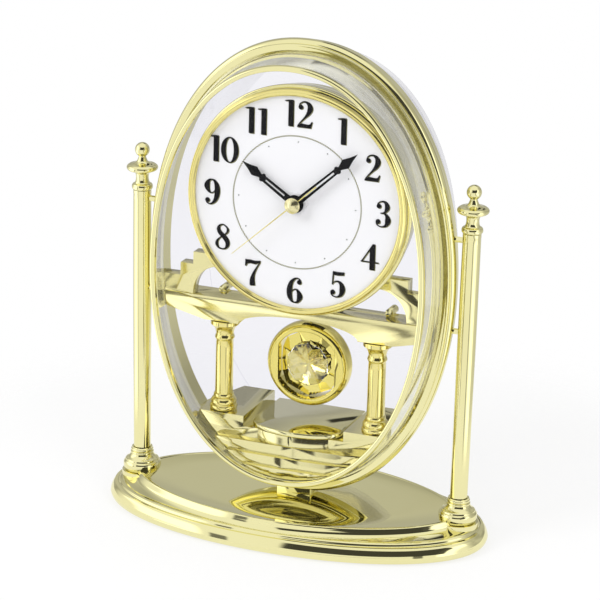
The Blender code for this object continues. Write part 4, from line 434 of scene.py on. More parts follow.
def closed(line):  # a turned line is led to its axis at both ends
    return [(0, line[0][1])] + line + ([(0, line[-1][1])] if line[-1][0] else [])


def turnedPiece(name, line, finish, place, nodes=(), body="clock", sides=64, loop=False):
    adopt(guide(name, lathe(line, sides, loop), place), name, finish, body, nodes)


def bake(item):
    final = item.evaluated_get(bpy.context.evaluated_depsgraph_get())
    done = bpy.data.meshes.new_from_object(final)
    item.modifiers.clear()
    item.data = done


def combine(item, kind, others, keep=False):
    for other in others:
        step = item.modifiers.new(kind, "BOOLEAN")
        step.operation, step.solver, step.object = kind, "EXACT", other
        bake(item)
        if not keep:
            bpy.data.objects.remove(other)
    return item


def bevelled(item, width, segments=2, angle=meshing["sharp"]):
    work = bmesh.new()
    work.from_mesh(item.data)
    bmesh.ops.remove_doubles(work, verts=work.verts, dist=meshing["bevelWeld"])
    bmesh.ops.dissolve_limit(work, angle_limit=math.radians(meshing["flat"]), verts=work.verts,
                             edges=work.edges)
    work.to_mesh(item.data)
    work.free()
    step = item.modifiers.new("edges", "BEVEL")
    step.width, step.segments, step.limit_method = width, segments, "ANGLE"
    step.angle_limit, step.use_clamp_overlap, step.harden_normals = math.radians(angle), True, True
    bake(item)
    crisp(item.data, meshing["bevelSharp"])
    return item


# A node tree with named sizes, whose first input is the geometry of the item it runs on
def newTree(name, sizes):
    tree = bpy.data.node_groups.new(name, "GeometryNodeTree")
    for title, kind in sizes:
        tree.interface.new_socket(title, in_out="INPUT", socket_type="NodeSocket" + kind)
    tree.interface.new_socket("Shape", in_out="OUTPUT", socket_type="NodeSocketGeometry")
    grow = Shade(tree)
    return tree, grow, grow.add("NodeGroupInput")


def endTree(grow, shape, finish):
    shape = grow.add("GeometryNodeRealizeInstances", {}, {"Geometry": shape})
    shape = grow.add("GeometryNodeSetMaterial", {}, {"Geometry": shape, "Material": finish})
    grow.add("NodeGroupOutput", {}, {"Shape": shape})


def turnedCopies(grow, points, item, around):
    tilt = grow.add("ShaderNodeCombineXYZ", {}, [0.0, 0.0, around])
    return grow.add("GeometryNodeInstanceOnPoints", {}, {
        "Points": points, "Instance": item,
        "Rotation": grow.add("FunctionNodeEulerToRotation", {}, [tilt])})


# Runs a tree on an item and turns what comes out into a plain mesh
def growPiece(item, tree, values):
    step = item.modifiers.new(tree.name, "NODES")
    step.node_group = tree
    for socket in tree.interface.items_tree:
        if socket.in_out == "INPUT" and socket.name in values:
            step[socket.identifier] = values[socket.name]
    bake(item)
    return item


# Base: a round rim, a stepped ridge and a broad top plate, one smooth skin
base = {
    "halfLength": 111 * mm, "halfDepth": 52 * mm, "middleY": -1.5 * mm, "power": 2.05,
    "rimHeight": 10 * mm, "rimInset": 2.6 * mm, "height": 17.6 * mm, "topHalfLength": 94 * mm,
    "topHalfDepth": 44 * mm, "topPower": 1.8, "foot": 0.8 * mm, "sink": 0.25 * mm,
    "sinkShares": (0.75, 0.5, 0.25, 0.08), "sides": 224, "sharp": 40,
    "rimLine": ((0.96, 0.08, 1), (0.55, 0.13), (0.19, 0.25), (0, 0.44), (0.08, 0.56), (0.22, 0.68),
                (0.45, 0.81), (0.74, 0.92), (1.1, 1, 1)),
    "ridgeLine": ((0, 0.04, 1), (0.14, 0.06), (0.2, 0.2), (0.3, 0.28, 1), (0.45, 0.3), (0.7, 0.41),
                  (0.85, 0.56), (0.92, 0.78), (0.97, 0.94), (1.04, 0.99), (1.12, 0.99),
                  (1.2, 0.962)),
    "ridgeSteps": 5,
}


def lens(halfLength, halfDepth, z, power):
    return [(x, base["middleY"] + y, z)
            for x, y in superellipse(halfLength, halfDepth, power, base["sides"])]


def rimRow(inset, z):
    return lens(base["halfLength"] - inset, base["halfDepth"] - inset, z, base["power"])


def makeBase():
    rimInset, rimHeight = base["rimInset"], base["rimHeight"]
    rows = [rimRow(rimInset, base["foot"])]
    rows += [rimRow(inward * rimInset, up * rimHeight) for inward, up in smooth(base["rimLine"])]
    shelf = rimRow(rimInset, 0)
    top = lens(base["topHalfLength"], base["topHalfDepth"], 0, base["topPower"])
    for inward, up in smooth(base["ridgeLine"], base["ridgeSteps"]):
        height = rimHeight + (base["height"] - rimHeight) * up
        rows.append([(x + (farX - x) * inward, y + (farY - y) * inward, height)
                     for (x, y, _), (farX, farY, _) in zip(shelf, top)])
    plate = rows[-1]
    for share in base["sinkShares"]:  # the top sinks very slightly towards its middle
        sink = base["sink"] * (1 - share ** 2)
        rows.append([(x * share, base["middleY"] + (y - base["middleY"]) * share, z - sink)
                     for x, y, z in plate])
    body = guide("baseBody", skin(rows), standing, base["sharp"])
    adopt(body, "baseBody", "paleGold", nodes=["base_shell"])


makeBase()

# Posts: drum in the base, ringed foot, long column and turned finial on each side
posts = {
    "x": 94.4 * mm, "foot": 14.1 * mm, "splay": math.radians(0.56),
    "drumRadius": 13.4 * mm, "drumFoot": 6 * mm,
    "drumLine": ((1, 0, 1), (0.985, 0.12), (0.93, 0.22), (0.9, 0.3, 1), (0.87, 0.42), (0.86, 0.6),
                 (0.85, 0.8, 1), (0.84, 1.02, 1)),
    "footRadius": 10.6 * mm, "footHeight": 13.5 * mm,
    "footLine": ((0.88, 0, 1), (0.93, 0.03), (0.99, 0.14), (1, 0.24), (0.99, 0.34),
                 (0.93, 0.42, 1), (0.9, 0.44), (0.88, 0.49, 1), (0.84, 0.52), (0.74, 0.57),
                 (0.66, 0.64), (0.6, 0.72, 1), (0.62, 0.74), (0.61, 0.8), (0.56, 0.83, 1),
                 (0.59, 0.86), (0.59, 0.92), (0.55, 0.955, 1), (0.545, 1, 1)),
    "columnRadius": 5.05 * mm, "columnHeight": 150.4 * mm,
    "columnLine": ((0.95, 0, 1), (0.955, 0.08), (0.975, 0.3), (1, 0.6), (0.995, 0.85),
                   (0.985, 0.985, 1), (1, 0.986, 1), (1, 1, 1)),
    "finialRadius": 8.7 * mm, "finialHeight": 26.5 * mm,
    "finialLine": ((0.6, 0, 1), (0.66, 0.025), (0.67, 0.07), (0.62, 0.11), (0.5, 0.135, 1),
                   (0.44, 0.17), (0.405, 0.24), (0.42, 0.31), (0.5, 0.36), (0.7, 0.385, 1),
                   (0.93, 0.42), (1, 0.465), (0.96, 0.505), (0.84, 0.535, 1), (0.6, 0.55),
                   (0.38, 0.59), (0.28, 0.65), (0.235, 0.695, 1)),
    "ballShare": 0.47, "ballSteps": 20,
}


def postLine(part, height, start):
    return scaled(smooth(posts[part + "Line"]), posts[part + "Radius"], height, start)


def makePosts():
    rise = posts["foot"] - posts["drumFoot"]
    for side, way in bothSides:
        place = at(way * posts["x"], 0, posts["foot"])
        place = place @ Matrix.Rotation(way * posts["splay"], 4, "Y")
        drum = closed(postLine("drum", rise, -rise))
        turnedPiece("drum" + side.title(), drum, "paleGold", place)
        start = gap
        for part in ("foot", "column", "finial"):
            height = posts[part + "Height"]
            line = postLine(part, height, start)
            if part == "finial":
                line += ballLine(line[-1][0], start + height)
            turnedPiece(part + side.title(), closed(line), "paleGold", place, [part + "_" + side])
            start += height + gap


def ballLine(neck, top):
    ball, steps = posts["ballShare"] * posts["finialRadius"], posts["ballSteps"]
    opening, middle = math.asin(neck / ball), top - ball
    angles = [opening + (math.pi - opening) * step / steps for step in range(steps + 1)]
    line = [(ball * math.sin(angle), middle - ball * math.cos(angle)) for angle in angles]
    return line[:-1] + [(0, line[-1][1])]


makePosts()
print("base and posts ready")

# The oval rings follow one oval path: a node tree draws a profile along it
ovalRings = {
    "mainFrame": {
        "node": "main_frame", "halfWidth": 89 * mm, "front": 8 * mm, "thickness": 7 * mm,
        "depth": 16 * mm,
        "line": ((0.77, 0, 1), (0.5, 0.0), (0.36, 0.0), (0.3, 0.03), (0.29, 0.08), (0.33, 0.13),
                 (0.4, 0.155, 1), (0.24, 0.17), (0.08, 0.23), (0, 0.33), (0, 0.44), (0.05, 0.52),
                 (0.16, 0.555, 1), (0.22, 0.58), (0.25, 0.66), (0.28, 0.82), (0.31, 0.97),
                 (0.34, 1, 1), (0.97, 1, 1), (1, 0.98, 1), (1, 0.3, 1), (1.17, 0.27, 1),
                 (1.17, 0.2, 1), (0.77, 0.19, 1)),
    },
    "frontBezel": {
        "node": "front_bezel", "halfWidth": 79.4 * mm, "front": 25.7 * mm, "thickness": 3.2 * mm,
        "depth": -2.4 * mm,
        "line": ((0, 0, 1), (0.02, 0.3), (0.07, 0.6), (0.18, 0.85), (0.36, 0.985), (0.55, 1),
                 (0.74, 0.97), (0.9, 0.86), (0.97, 0.7, 1), (0.98, 0.4), (1, 0, 1)),
    },
}
ringMaking = {"steps": 240, "lineSteps": 5, "sharp": 30}


def ovalTree():
    tree, grow, inputs = newTree("ovalRing", (
        ("Profile", "Geometry"), ("Half Width", "Float"), ("Half Height", "Float"),
        ("Power", "Float"), ("Steps", "Int"), ("Finish", "Material")))
    path = grow.add("GeometryNodeCurvePrimitiveCircle", {"mode": "RADIUS"},
                    {"Resolution": inputs["Steps"], "Radius": 1.0})
    around = grow.add("GeometryNodeInputIndex") / inputs["Steps"] * turn

    def swollen(operation, half):
        part = grow.maths(operation, around)
        return grow.maths("SIGN", part) * grow.maths("ABSOLUTE", part) ** (2.0 / inputs["Power"]) \
            * half

    place = grow.add("ShaderNodeCombineXYZ", {}, [swollen("COSINE", inputs["Half Width"]),
                                                  swollen("SINE", inputs["Half Height"]), 0.0])
    path = grow.add("GeometryNodeSetPosition", {}, {"Geometry": path, "Position": place})
    path = grow.add("GeometryNodeSetCurveNormal", {"mode": "Z_UP"}, {"Curve": path})
    profile = grow.add("GeometryNodeMeshToCurve", {}, {"Mesh": inputs["Profile"]})
    ring = grow.add("GeometryNodeCurveToMesh", {}, {"Curve": path, "Profile Curve": profile})
    endTree(grow, ring, inputs["Finish"])
    return tree


def makeRings():
    tree = ovalTree()
    for name, ring in ovalRings.items():
        points = [(-inset * ring["thickness"], back * ring["depth"], 0)
                  for inset, back in smooth(ring["line"], ringMaking["lineSteps"])]
        edges = [(index, (index + 1) % len(points)) for index in range(len(points))]
        half = ring["halfWidth"]
        item = growPiece(newItem(name + "Line", points, edges=edges), tree, {
            "Half Width": half, "Half Height": half + stance["ovalStretch"],
            "Power": stance["ovalPower"], "Steps": ringMaking["steps"],
            "Finish": finishes["paleGold"]})
        item.data.transform(at(0, 0, stance["ovalHeight"]) @ facing
                            @ Matrix.Translation((0, 0, ring["front"])))
        tidyMesh(item.data, ringMaking["sharp"])
        adopt(item, name, "paleGold", nodes=[ring["node"]])


makeRings()

# Clear covers in front of the oval and behind it, the door's hinge lugs and the oval's tongue
covers = {
    "halfWidth": 82.2 * mm, "frontY": -25.4 * mm, "taper": 3.9 * mm, "wall": 1.6 * mm,
    "faceEdge": ((0.12, 0.5), (-0.15, 0.08), (-0.5, 0)),
    "lip": 2.1 * mm, "lipHalf": 83.31 * mm, "rearY": -5.3 * mm, "frameFrontY": -8 * mm,
    "backHalf": 86.2 * mm, "backFrontY": 8.3 * mm, "backY": 43.3 * mm, "backTaper": 11.5 * mm,
    "bend": 0.33, "backEdge": ((0.2, -1.8), (-0.5, -0.6), (-1.7, 0)), "edgeSteps": 4,
    "doorRadius": 40 * mm, "doorSides": 96, "sides": 192, "insideHalf": 81.7 * mm,
    "insideY": -4.4 * mm,
    "hingeX": -43.8 * mm, "hingeRadius": 1.5 * mm, "hingeHalf": 6 * mm, "lugLength": 3.2 * mm,
    "lugWall": 1.5 * mm, "lugSteps": 10, "pinBore": 1.15 * mm, "boreSides": 20,
    "tongue": (10 * mm, 6 * mm, 13.4 * mm, 24 * mm), "tongueEdge": 0.4 * mm,
}


def coverShell(name, rows):
    return guide(name, skin([ovalRow(half, y, covers["sides"]) for half, y in rows]))


def makeFrontCover():
    rim, half, wall = covers["halfWidth"] - covers["taper"], covers["halfWidth"], covers["wall"]
    frontY, rearY, lipHalf = covers["frontY"], covers["rearY"], covers["lipHalf"]
    rows = [(rim - wall, frontY + wall), (half - wall, rearY - covers["lip"]),
            (half - wall, rearY), (lipHalf, rearY), (lipHalf, rearY - covers["lip"]),
            (half, covers["frameFrontY"])]
    shell = coverShell("frontGuide", rows + stepped((rim, frontY), covers["faceEdge"]))
    adopt(shell, "frontCover", "clearFront", nodes=["front_cover"])


def makeRearCover():
    half, wall, taper = covers["backHalf"], covers["wall"], covers["backTaper"]
    frontY, backY, bend = covers["backFrontY"], covers["backY"], covers["bend"]
    back = half - taper
    bulge = [(half, frontY, 1), (half - bend * taper, frontY + bend * (backY - frontY), 1)]
    bulge = smooth(bulge + stepped((back, backY), covers["backEdge"]), covers["edgeSteps"])
    shell = coverShell("rearGuide", [(back - wall, backY - wall), (half - wall, frontY)] + bulge)
    hole = lathe([(covers["doorRadius"], -backY - overrun),
                  (covers["doorRadius"], -backY + wall + overrun)], covers["doorSides"])
    combine(shell, "DIFFERENCE", [guide("doorHole", hole, onDial)])
    adopt(shell, "rearCover", "clearPlastic", nodes=["rear_cover"])


def makeLugs():
    hingeX, radius, backY = covers["hingeX"], covers["hingeRadius"], covers["backY"]
    hingeY = backY + radius + gap
    outline = [(hingeX - radius - covers["lugWall"], backY - lap)] \
        + arcPoints((hingeX, hingeY), radius, math.pi, 0, covers["lugSteps"]) \
        + [(hingeX + radius, backY - lap)]
    near = covers["hingeHalf"] + gap
    for level, way in (("Lower", -1), ("Upper", 1)):
        low, high = sorted((stance["dialHeight"] + way * near,
                            stance["dialHeight"] + way * (near + covers["lugLength"])))
        bore = lathe([(covers["pinBore"], low - overrun), (covers["pinBore"], high + overrun)],
                     covers["boreSides"])
        lug = combine(guide("lug", slab(outline, low, high)), "DIFFERENCE",
                      [guide("bore", bore, at(hingeX, hingeY, 0))])
        adopt(lug, "hingeLug" + level, "clearPlastic")


def makeTongue():
    halfX, halfY, foot, top = covers["tongue"]
    tongue = guide("tongueGuide", slab(box(halfX, -halfY, halfY), foot, top))
    adopt(bevelled(tongue, covers["tongueEdge"]), "frameTongue", "paleGold")


makeFrontCover()
makeRearCover()
makeLugs()
makeTongue()
print("oval and covers ready")


# Inside the oval: bridge, pillars, platform and stage, trimmed to the oval's inner wall
def insideCore():
    wall, backY = covers["wall"] + gap, covers["backY"]
    rows = [(covers["halfWidth"] - covers["taper"] - wall, covers["frontY"] + wall),
            (covers["halfWidth"] - wall, covers["rearY"]),
            (covers["insideHalf"], covers["insideY"]),
            (covers["insideHalf"], covers["backFrontY"]),
            (covers["backHalf"] - covers["backTaper"] - wall, backY - wall)]
    return guide("core", skin([ovalRow(half, y) for half, y in rows]))


bridge = {
    "frontY": -6 * mm, "depth": 16.4 * mm, "foot": 110.6 * mm, "arch": 118.4 * mm,
    "end": 118.2 * mm, "ledge": 124.2 * mm, "haunch": (35 * mm, 55.5 * mm),
    "steps": (148.4 * mm, 141.4 * mm, 134.2 * mm), "stepEdges": (62.7 * mm, 70.3 * mm),
    "archMiddle": 46 * mm, "archRadius": 16.5 * mm, "archSpring": 125.3 * mm, "archInner": 40 * mm,
    "archSteps": 30, "pierDepth": 7.4 * mm, "setback": 0.8 * mm, "far": 89 * mm,
    "edge": 0.35 * mm, "pegX": 49 * mm, "pegHeight": 125.6 * mm, "pegRadius": 2.3 * mm,
    "pegY": (4.9 * mm, 14 * mm), "pegSides": 32,
}


def makeBridge(core):
    foot, far, (inner, outer) = bridge["foot"], bridge["far"], bridge["haunch"]
    half = quarter(inner, foot, bridge["arch"] - foot)[:-1] + [
        (inner, foot), (outer, foot), (far, bridge["end"]), (far, bridge["ledge"])]
    frontY, depth, peg = bridge["frontY"], bridge["depth"], bridge["pegRadius"]
    beam = guide("beam", upright(mirrored(half), frontY, frontY + depth))
    middle, radius = bridge["archMiddle"], bridge["archRadius"]
    start = math.acos((bridge["archInner"] - middle) / radius)
    sunk = bridge["ledge"] - lap
    high, mid, low = bridge["steps"]
    near, beyond = bridge["stepEdges"]
    pier = arcPoints((middle, bridge["archSpring"]), radius, start, 0, bridge["archSteps"]) + [
        (middle + radius, sunk), (far, sunk), (far, low), (beyond, low), (beyond, mid),
        (near, mid), (near, high), (bridge["archInner"], high)]
    front = frontY + bridge["setback"]
    for way in (-1, 1):
        shape = upright([(way * x, z) for x, z in pier], front, front + bridge["pierDepth"])
        combine(beam, "UNION", [guide("pier", shape)])
    pegNear, pegFar = bridge["pegY"]
    shape = lathe([(peg, -pegFar), (peg, -pegNear)], bridge["pegSides"])
    for way in (-1, 1):
        place = at(way * bridge["pegX"], 0, bridge["pegHeight"]) @ facing
        combine(beam, "UNION", [guide("peg", shape, place)])
    combine(beam, "INTERSECT", [core], keep=True)
    adopt(bevelled(beam, bridge["edge"]), "bridge", "satinGold", nodes=["bridge"])


platform = {
    "deck": 52.6 * mm, "block": 58.6 * mm, "under": 36 * mm, "inner": 29.6 * mm,
    "frontY": -9 * mm, "rearY": 38 * mm, "far": 89 * mm, "edge": 0.4 * mm,
    "terraces": ((46.8 * mm, -10.5 * mm), (41 * mm, -13.6 * mm), (35.6 * mm, -16.6 * mm)),
    "terraceSteps": 32, "bulge": 5 * mm, "terraceRear": 20 * mm, "stageHalf": 26 * mm,
    "stageTop": 55.6 * mm, "stageFrontY": -15 * mm, "shoulderY": -2 * mm,
    "plinthInset": 0.6 * mm, "stageEdge": 0.5 * mm,
}


def stageOutline(inset, rear):
    half, shoulder = platform["stageHalf"] - inset, platform["shoulderY"]
    front = quarter(half, shoulder, -(shoulder - platform["stageFrontY"] - inset))
    return mirrored(front + [(half, rear)])


def makePlatform(core):
    far, inner, deck = platform["far"], platform["inner"], platform["deck"]
    side = [(inner, platform["block"]), (far, platform["block"]), (far, platform["under"])]
    outline = side + [(-x, z) for x, z in reversed(side)] + [(-inner, deck), (inner, deck)]
    body = guide("blocks", upright(outline, platform["frontY"], platform["rearY"]))
    plinth = slab(stageOutline(platform["plinthInset"], platform["terraceRear"]),
                  platform["terraces"][0][0] - lap, deck)
    combine(body, "UNION", [guide("plinth", plinth)])
    shares = [step / platform["terraceSteps"] for step in range(platform["terraceSteps"] + 1)]
    for height, front in platform["terraces"]:
        edge = [(far * share, front - platform["bulge"] * (1 - share ** 2)) for share in shares]
        edge.append((far, platform["terraceRear"] + front / 2))
        combine(body, "UNION", [guide("terrace", slab(mirrored(edge), 0, height))])
    combine(body, "INTERSECT", [core])
    adopt(bevelled(body, platform["edge"]), "platform", "satinGold", nodes=["platform"])
    top = guide("stageGuide", slab(stageOutline(0, platform["rearY"] - overrun), deck + gap,
                                   platform["stageTop"]))
    adopt(bevelled(top, platform["stageEdge"], segments=3), "stage", "paleGold", nodes=["stage"])


core = insideCore()
makeBridge(core)
makePlatform(core)

pillars = {
    "x": 45 * mm, "y": -0.5 * mm, "foot": 58.9 * mm, "height": 51.4 * mm, "radius": 8 * mm,
    "line": ((0.93, 0, 1), (0.96, 0.015), (0.95, 0.04), (0.87, 0.055, 1), (0.9, 0.075),
             (0.88, 0.1), (0.78, 0.125), (0.7, 0.135, 1), (0.72, 0.15), (0.69, 0.17),
             (0.63, 0.182, 1), (0.62, 0.4), (0.61, 0.78, 1), (0.66, 0.795), (0.69, 0.81),
             (0.66, 0.83), (0.62, 0.845, 1), (0.63, 0.87), (0.7, 0.905), (0.86, 0.94),
             (0.97, 0.955, 1), (1, 0.96, 1), (1, 1, 1)),
    "lineSteps": 5, "sides": 72,
}
for side, way in bothSides:
    line = smooth(pillars["line"], pillars["lineSteps"])
    line = scaled(line, pillars["radius"], pillars["height"])
    turnedPiece("pillar" + side.title(), closed(line), "pillarGold",
                at(way * pillars["x"], pillars["y"], pillars["foot"]), ["pillar_" + side],
                sides=pillars["sides"])
print("bridge, pillars and platform ready")

# Dial: drum, bezel, twelve numbers with their printed shadows, a fine rope ring and hour dots
dial = {
    "face": 11.6 * mm, "radius": 60.4 * mm, "drumFront": 10.3 * mm, "drumRear": -10 * mm,
    "drumRearRadius": 61.5 * mm, "widest": 8 * mm, "widestRadius": 64.5 * mm,
    "frontRadius": 63.4 * mm, "mouth": 58.5 * mm, "step": 1.1 * mm, "wall": 1.6 * mm,
    "rearEdge": ((-0.8, 0), (-0.2, 0.3), (0, 1)),
    "ridges": ((0, 0, 1), (0.35, 0.3), (0.62, 0.62), (0.7, 0.7, 1), (0.66, 0.72, 1),
               (0.8, 0.82), (0.93, 0.93), (1, 1, 1)),
    "ridgeSteps": 5, "ridgeEnds": 1.4 * mm, "shoulder": ((0, -0.4, 1), (-0.1, 0.1), (-0.5, 0.5)),
    "shoulderTop": 0.7 * mm, "shoulderSteps": 4, "drumSharp": 28,
    "bezelBore": 59.2 * mm, "bezelRadius": 63 * mm, "bezelFront": 14.6 * mm,
    "bezelInner": ((0, -1.3, 1), (0.15, -1), (0.5, -0.75, 1), (0.75, -0.25), (1.5, 0), (2.3, -0.1),
                   (2.9, -0.6)),
    "bezelOuter": ((-0.5, -1.1, 1), (-0.15, -1.3), (0, -1.8, 1)), "bezelSteps": 5,
    "plateBore": 3.6 * mm, "plateThickness": 1 * mm, "plateEdge": 0.2 * mm, "sides": 192,
    "window": (30.3 * mm, -33.6 * mm, 19.9 * mm),
    "numberRadius": 49.4 * mm, "numberHeight": 14.5 * mm, "raised": 0.45 * mm, "strokeSteps": 5,
    "ballShare": 0.088, "ballSides": 20, "noughtSides": 56,
    "spacing": {"10": 0.1, "11": 0.135, "12": 0.13},
    "shadowShift": (0.42 * mm, -0.36 * mm), "shadowThickness": 0.08 * mm,
}


def makeDrum():
    rearRadius, rear, wall = dial["drumRearRadius"], dial["drumRear"], dial["wall"]
    widest, widestRadius, frontRadius = dial["widest"], dial["widestRadius"], dial["frontRadius"]
    outer = stepped((rearRadius, rear), dial["rearEdge"])
    foot, length = outer[-1][1], widest - rear - dial["ridgeEnds"]
    outer += [(rearRadius + out * (widestRadius - rearRadius), foot + along * length)
              for along, out in smooth(dial["ridges"], dial["ridgeSteps"])]
    shoulder = stepped((widestRadius, widest), dial["shoulder"]) + [
        (frontRadius, widest + dial["shoulderTop"], 1), (frontRadius, dial["drumFront"], 1)]
    profile = [(0, rear)] + outer + smooth(shoulder, dial["shoulderSteps"]) + [
        (dial["mouth"], dial["drumFront"]), (dial["mouth"], dial["drumFront"] - dial["step"]),
        (widestRadius - wall, widest - lap), (rearRadius - wall, rear + wall), (0, rear + wall)]
    drum = guide("drumGuide", lathe(profile, dial["sides"]), onDial)
    window = slab(box(*dial["window"]), rear - overrun, rear + wall + overrun)
    combine(drum, "DIFFERENCE", [guide("window", window, onDial)])
    crisp(drum.data, dial["drumSharp"])
    adopt(drum, "dialDrum", "paleGold", nodes=["dial_drum"])


def makeBezelAndPlate():
    face, radius, bore, out = dial["face"], dial["radius"], dial["bezelBore"], dial["bezelRadius"]
    skirt, rear, top = radius + gap, dial["drumFront"] + gap, dial["bezelFront"]
    crown = stepped((bore, top), dial["bezelInner"]) + stepped((out, top), dial["bezelOuter"])
    bezel = [(bore, face + gap)] + smooth(crown, dial["bezelSteps"]) + [
        (out, rear), (skirt, rear), (skirt, face + gap)]
    under, edge = face - dial["plateThickness"], dial["plateEdge"]
    plate = [(dial["plateBore"], under), (dial["plateBore"], face), (radius - edge, face),
             (radius, face - edge), (radius, under)]
    for name, line, finish, node in (("dialBezel", bezel, "pillarGold", "dial_bezel"),
                                     ("dialPlate", plate, "dialWhite", "dial_plate")):
        turnedPiece(name, line, finish, onDial, [node], sides=dial["sides"], loop=True)


# Number shapes in shares of their height. A stroke is (x, y, width) points, a blob an outline
numberShapes = {
    "0": {"width": 0.7, "rings": [((0.35, 0.5), (0.35, 0.5), (0.165, 0.465))]},
    "1": {"width": 0.36, "blobs": [[(0.16, 0), (0.36, 0), (0.36, 1), (0.2, 1), (0.02, 0.968),
        (0.02, 0.935), (0.16, 0.94)]]},
    "2": {"width": 0.64, "balls": [(0.15, 0.77)], "strokes": [[(0.085, 0.78, 0.035),
        (0.12, 0.9, 0.035), (0.23, 0.975, 0.04), (0.36, 0.975, 0.07), (0.48, 0.885, 0.15),
        (0.52, 0.74, 0.2), (0.46, 0.57, 0.15), (0.32, 0.39, 0.07), (0.15, 0.2, 0.04),
        (0.05, 0.07, 0.035)]], "blobs": [[(0.02, 0), (0.56, 0), (0.62, 0.25), (0.585, 0.25),
        (0.53, 0.155), (0.45, 0.13), (0.3, 0.14), (0.18, 0.155), (0.02, 0.05)]]},
    "3": {"width": 0.62, "balls": [(0.15, 0.79), (0.13, 0.2)], "strokes": [[(0.085, 0.8, 0.035),
        (0.13, 0.92, 0.035), (0.25, 0.98, 0.04), (0.38, 0.965, 0.09), (0.46, 0.86, 0.16),
        (0.47, 0.74, 0.17), (0.4, 0.6, 0.08), (0.3, 0.545, 0.035), (0.22, 0.53, 0.03)],
        [(0.22, 0.53, 0.03), (0.36, 0.53, 0.05), (0.47, 0.44, 0.13), (0.51, 0.28, 0.21),
        (0.46, 0.11, 0.13), (0.34, 0.025, 0.05), (0.2, 0.02, 0.035), (0.09, 0.08, 0.035),
        (0.055, 0.19, 0.035)]]},
    "4": {"width": 0.7, "blobs": [[(0.35, 0), (0.55, 0), (0.55, 1), (0.45, 1), (0.35, 0.84)],
        [(0, 0.28), (0.7, 0.28), (0.7, 0.32), (0, 0.32)], [(0, 0.28), (0.04, 0.28), (0.5, 1),
        (0.45, 1)]]},
    "5": {"width": 0.62, "balls": [(0.13, 0.19)], "strokes": [[(0.1, 0.5, 0.03), (0.2, 0.6, 0.035),
        (0.33, 0.62, 0.06), (0.46, 0.53, 0.14), (0.51, 0.33, 0.21), (0.46, 0.13, 0.14),
        (0.33, 0.025, 0.05), (0.2, 0.02, 0.035), (0.09, 0.08, 0.035), (0.055, 0.18, 0.035)]],
        "blobs": [[(0.09, 0.48), (0.125, 0.48), (0.155, 0.9), (0.12, 0.98)], [(0.12, 1),
        (0.135, 0.87), (0.3, 0.855), (0.56, 0.88), (0.57, 1), (0.3, 0.985)]]},
    "6": {"width": 0.64, "balls": [(0.5, 0.83)], "strokes": [[(0.565, 0.84, 0.035),
        (0.53, 0.93, 0.035), (0.42, 0.98, 0.04), (0.29, 0.93, 0.08), (0.17, 0.77, 0.15),
        (0.11, 0.5, 0.2), (0.13, 0.25, 0.18), (0.22, 0.07, 0.09), (0.33, 0.02, 0.035)],
        [(0.33, 0.02, 0.035), (0.45, 0.07, 0.1), (0.53, 0.27, 0.21), (0.46, 0.47, 0.11),
        (0.35, 0.545, 0.035), (0.23, 0.48, 0.035), (0.17, 0.36, 0.035)]]},
    "7": {"width": 0.62, "strokes": [[(0.6, 0.94, 0.035), (0.47, 0.72, 0.05), (0.35, 0.47, 0.1),
        (0.3, 0.25, 0.17), (0.3, 0.1, 0.2), (0.31, 0, 0.2)]], "blobs": [[(0, 0.74), (0.035, 0.74),
        (0.09, 0.84), (0.2, 0.87), (0.4, 0.845), (0.6, 0.93), (0.62, 1), (0.4, 0.975), (0.2, 1),
        (0.06, 0.985), (0.03, 1), (0.01, 1)]]},
    "8": {"width": 0.64, "strokes": [[(0.49, 0.89, 0.05), (0.34, 0.98, 0.035), (0.2, 0.93, 0.07),
        (0.15, 0.8, 0.13), (0.22, 0.65, 0.16), (0.37, 0.52, 0.18), (0.5, 0.36, 0.18),
        (0.52, 0.2, 0.14), (0.44, 0.06, 0.06), (0.32, 0.02, 0.035)], [(0.32, 0.02, 0.035),
        (0.17, 0.06, 0.06), (0.09, 0.19, 0.11), (0.11, 0.33, 0.08), (0.22, 0.46, 0.04),
        (0.4, 0.59, 0.035), (0.5, 0.69, 0.07), (0.53, 0.8, 0.08), (0.49, 0.89, 0.05)]]},
    "9": {"width": 0.64, "flip": "6"},
}


def strokeOutline(points):
    line = curveThrough([Vector(point) for point in points], dial["strokeSteps"]) + [points[-1]]
    line = [Vector(point) for point in line]
    left, right = [], []
    for index, point in enumerate(line):
        before, after = line[max(index - 1, 0)], line[min(index + 1, len(line) - 1)]
        way = (after - before).to_2d().normalized()
        side = Vector((-way.y, way.x)) * point.z / 2
        left.append(tuple(point.to_2d() + side))
        right.append(tuple(point.to_2d() - side))
    return left, right


# One number as a solid, a unit high, from local z 0 up. A nine is a six turned round
def numberSolid(mark, top):
    shape = numberShapes[mark]
    flip = "flip" in shape
    if flip:
        shape = numberShapes[shape["flip"]]
    parts = []
    for left, right in map(strokeOutline, shape.get("strokes", ())):
        parts.append(skin([[(*a, 0), (*b, 0), (*b, top), (*a, top)] for a, b in zip(left, right)]))
    balls = [oval(dial["ballShare"], dial["ballShare"], dial["ballSides"], middle)
             for middle in shape.get("balls", ())]
    parts += [slab(outline, 0, top) for outline in list(shape.get("blobs", ())) + balls]
    for middle, outer, inner in shape.get("rings", ()):
        corners = ((outer, 0), (outer, top), (inner, top), (inner, 0))
        parts.append(skin([[(x, y, height) for x, y in oval(*half, dial["noughtSides"], middle)]
                           for half, height in corners], loop=True))
    items = [guide("stroke", part, Matrix()) for part in parts]
    solid = combine(items[0], "UNION", items[1:])
    if flip:
        middle = Vector((shape["width"] / 2, 0.5, 0))
        solid.data.transform(Matrix.Translation(middle) @ Matrix.Rotation(math.pi, 4, "Z")
                             @ Matrix.Translation(-middle))
    return solid


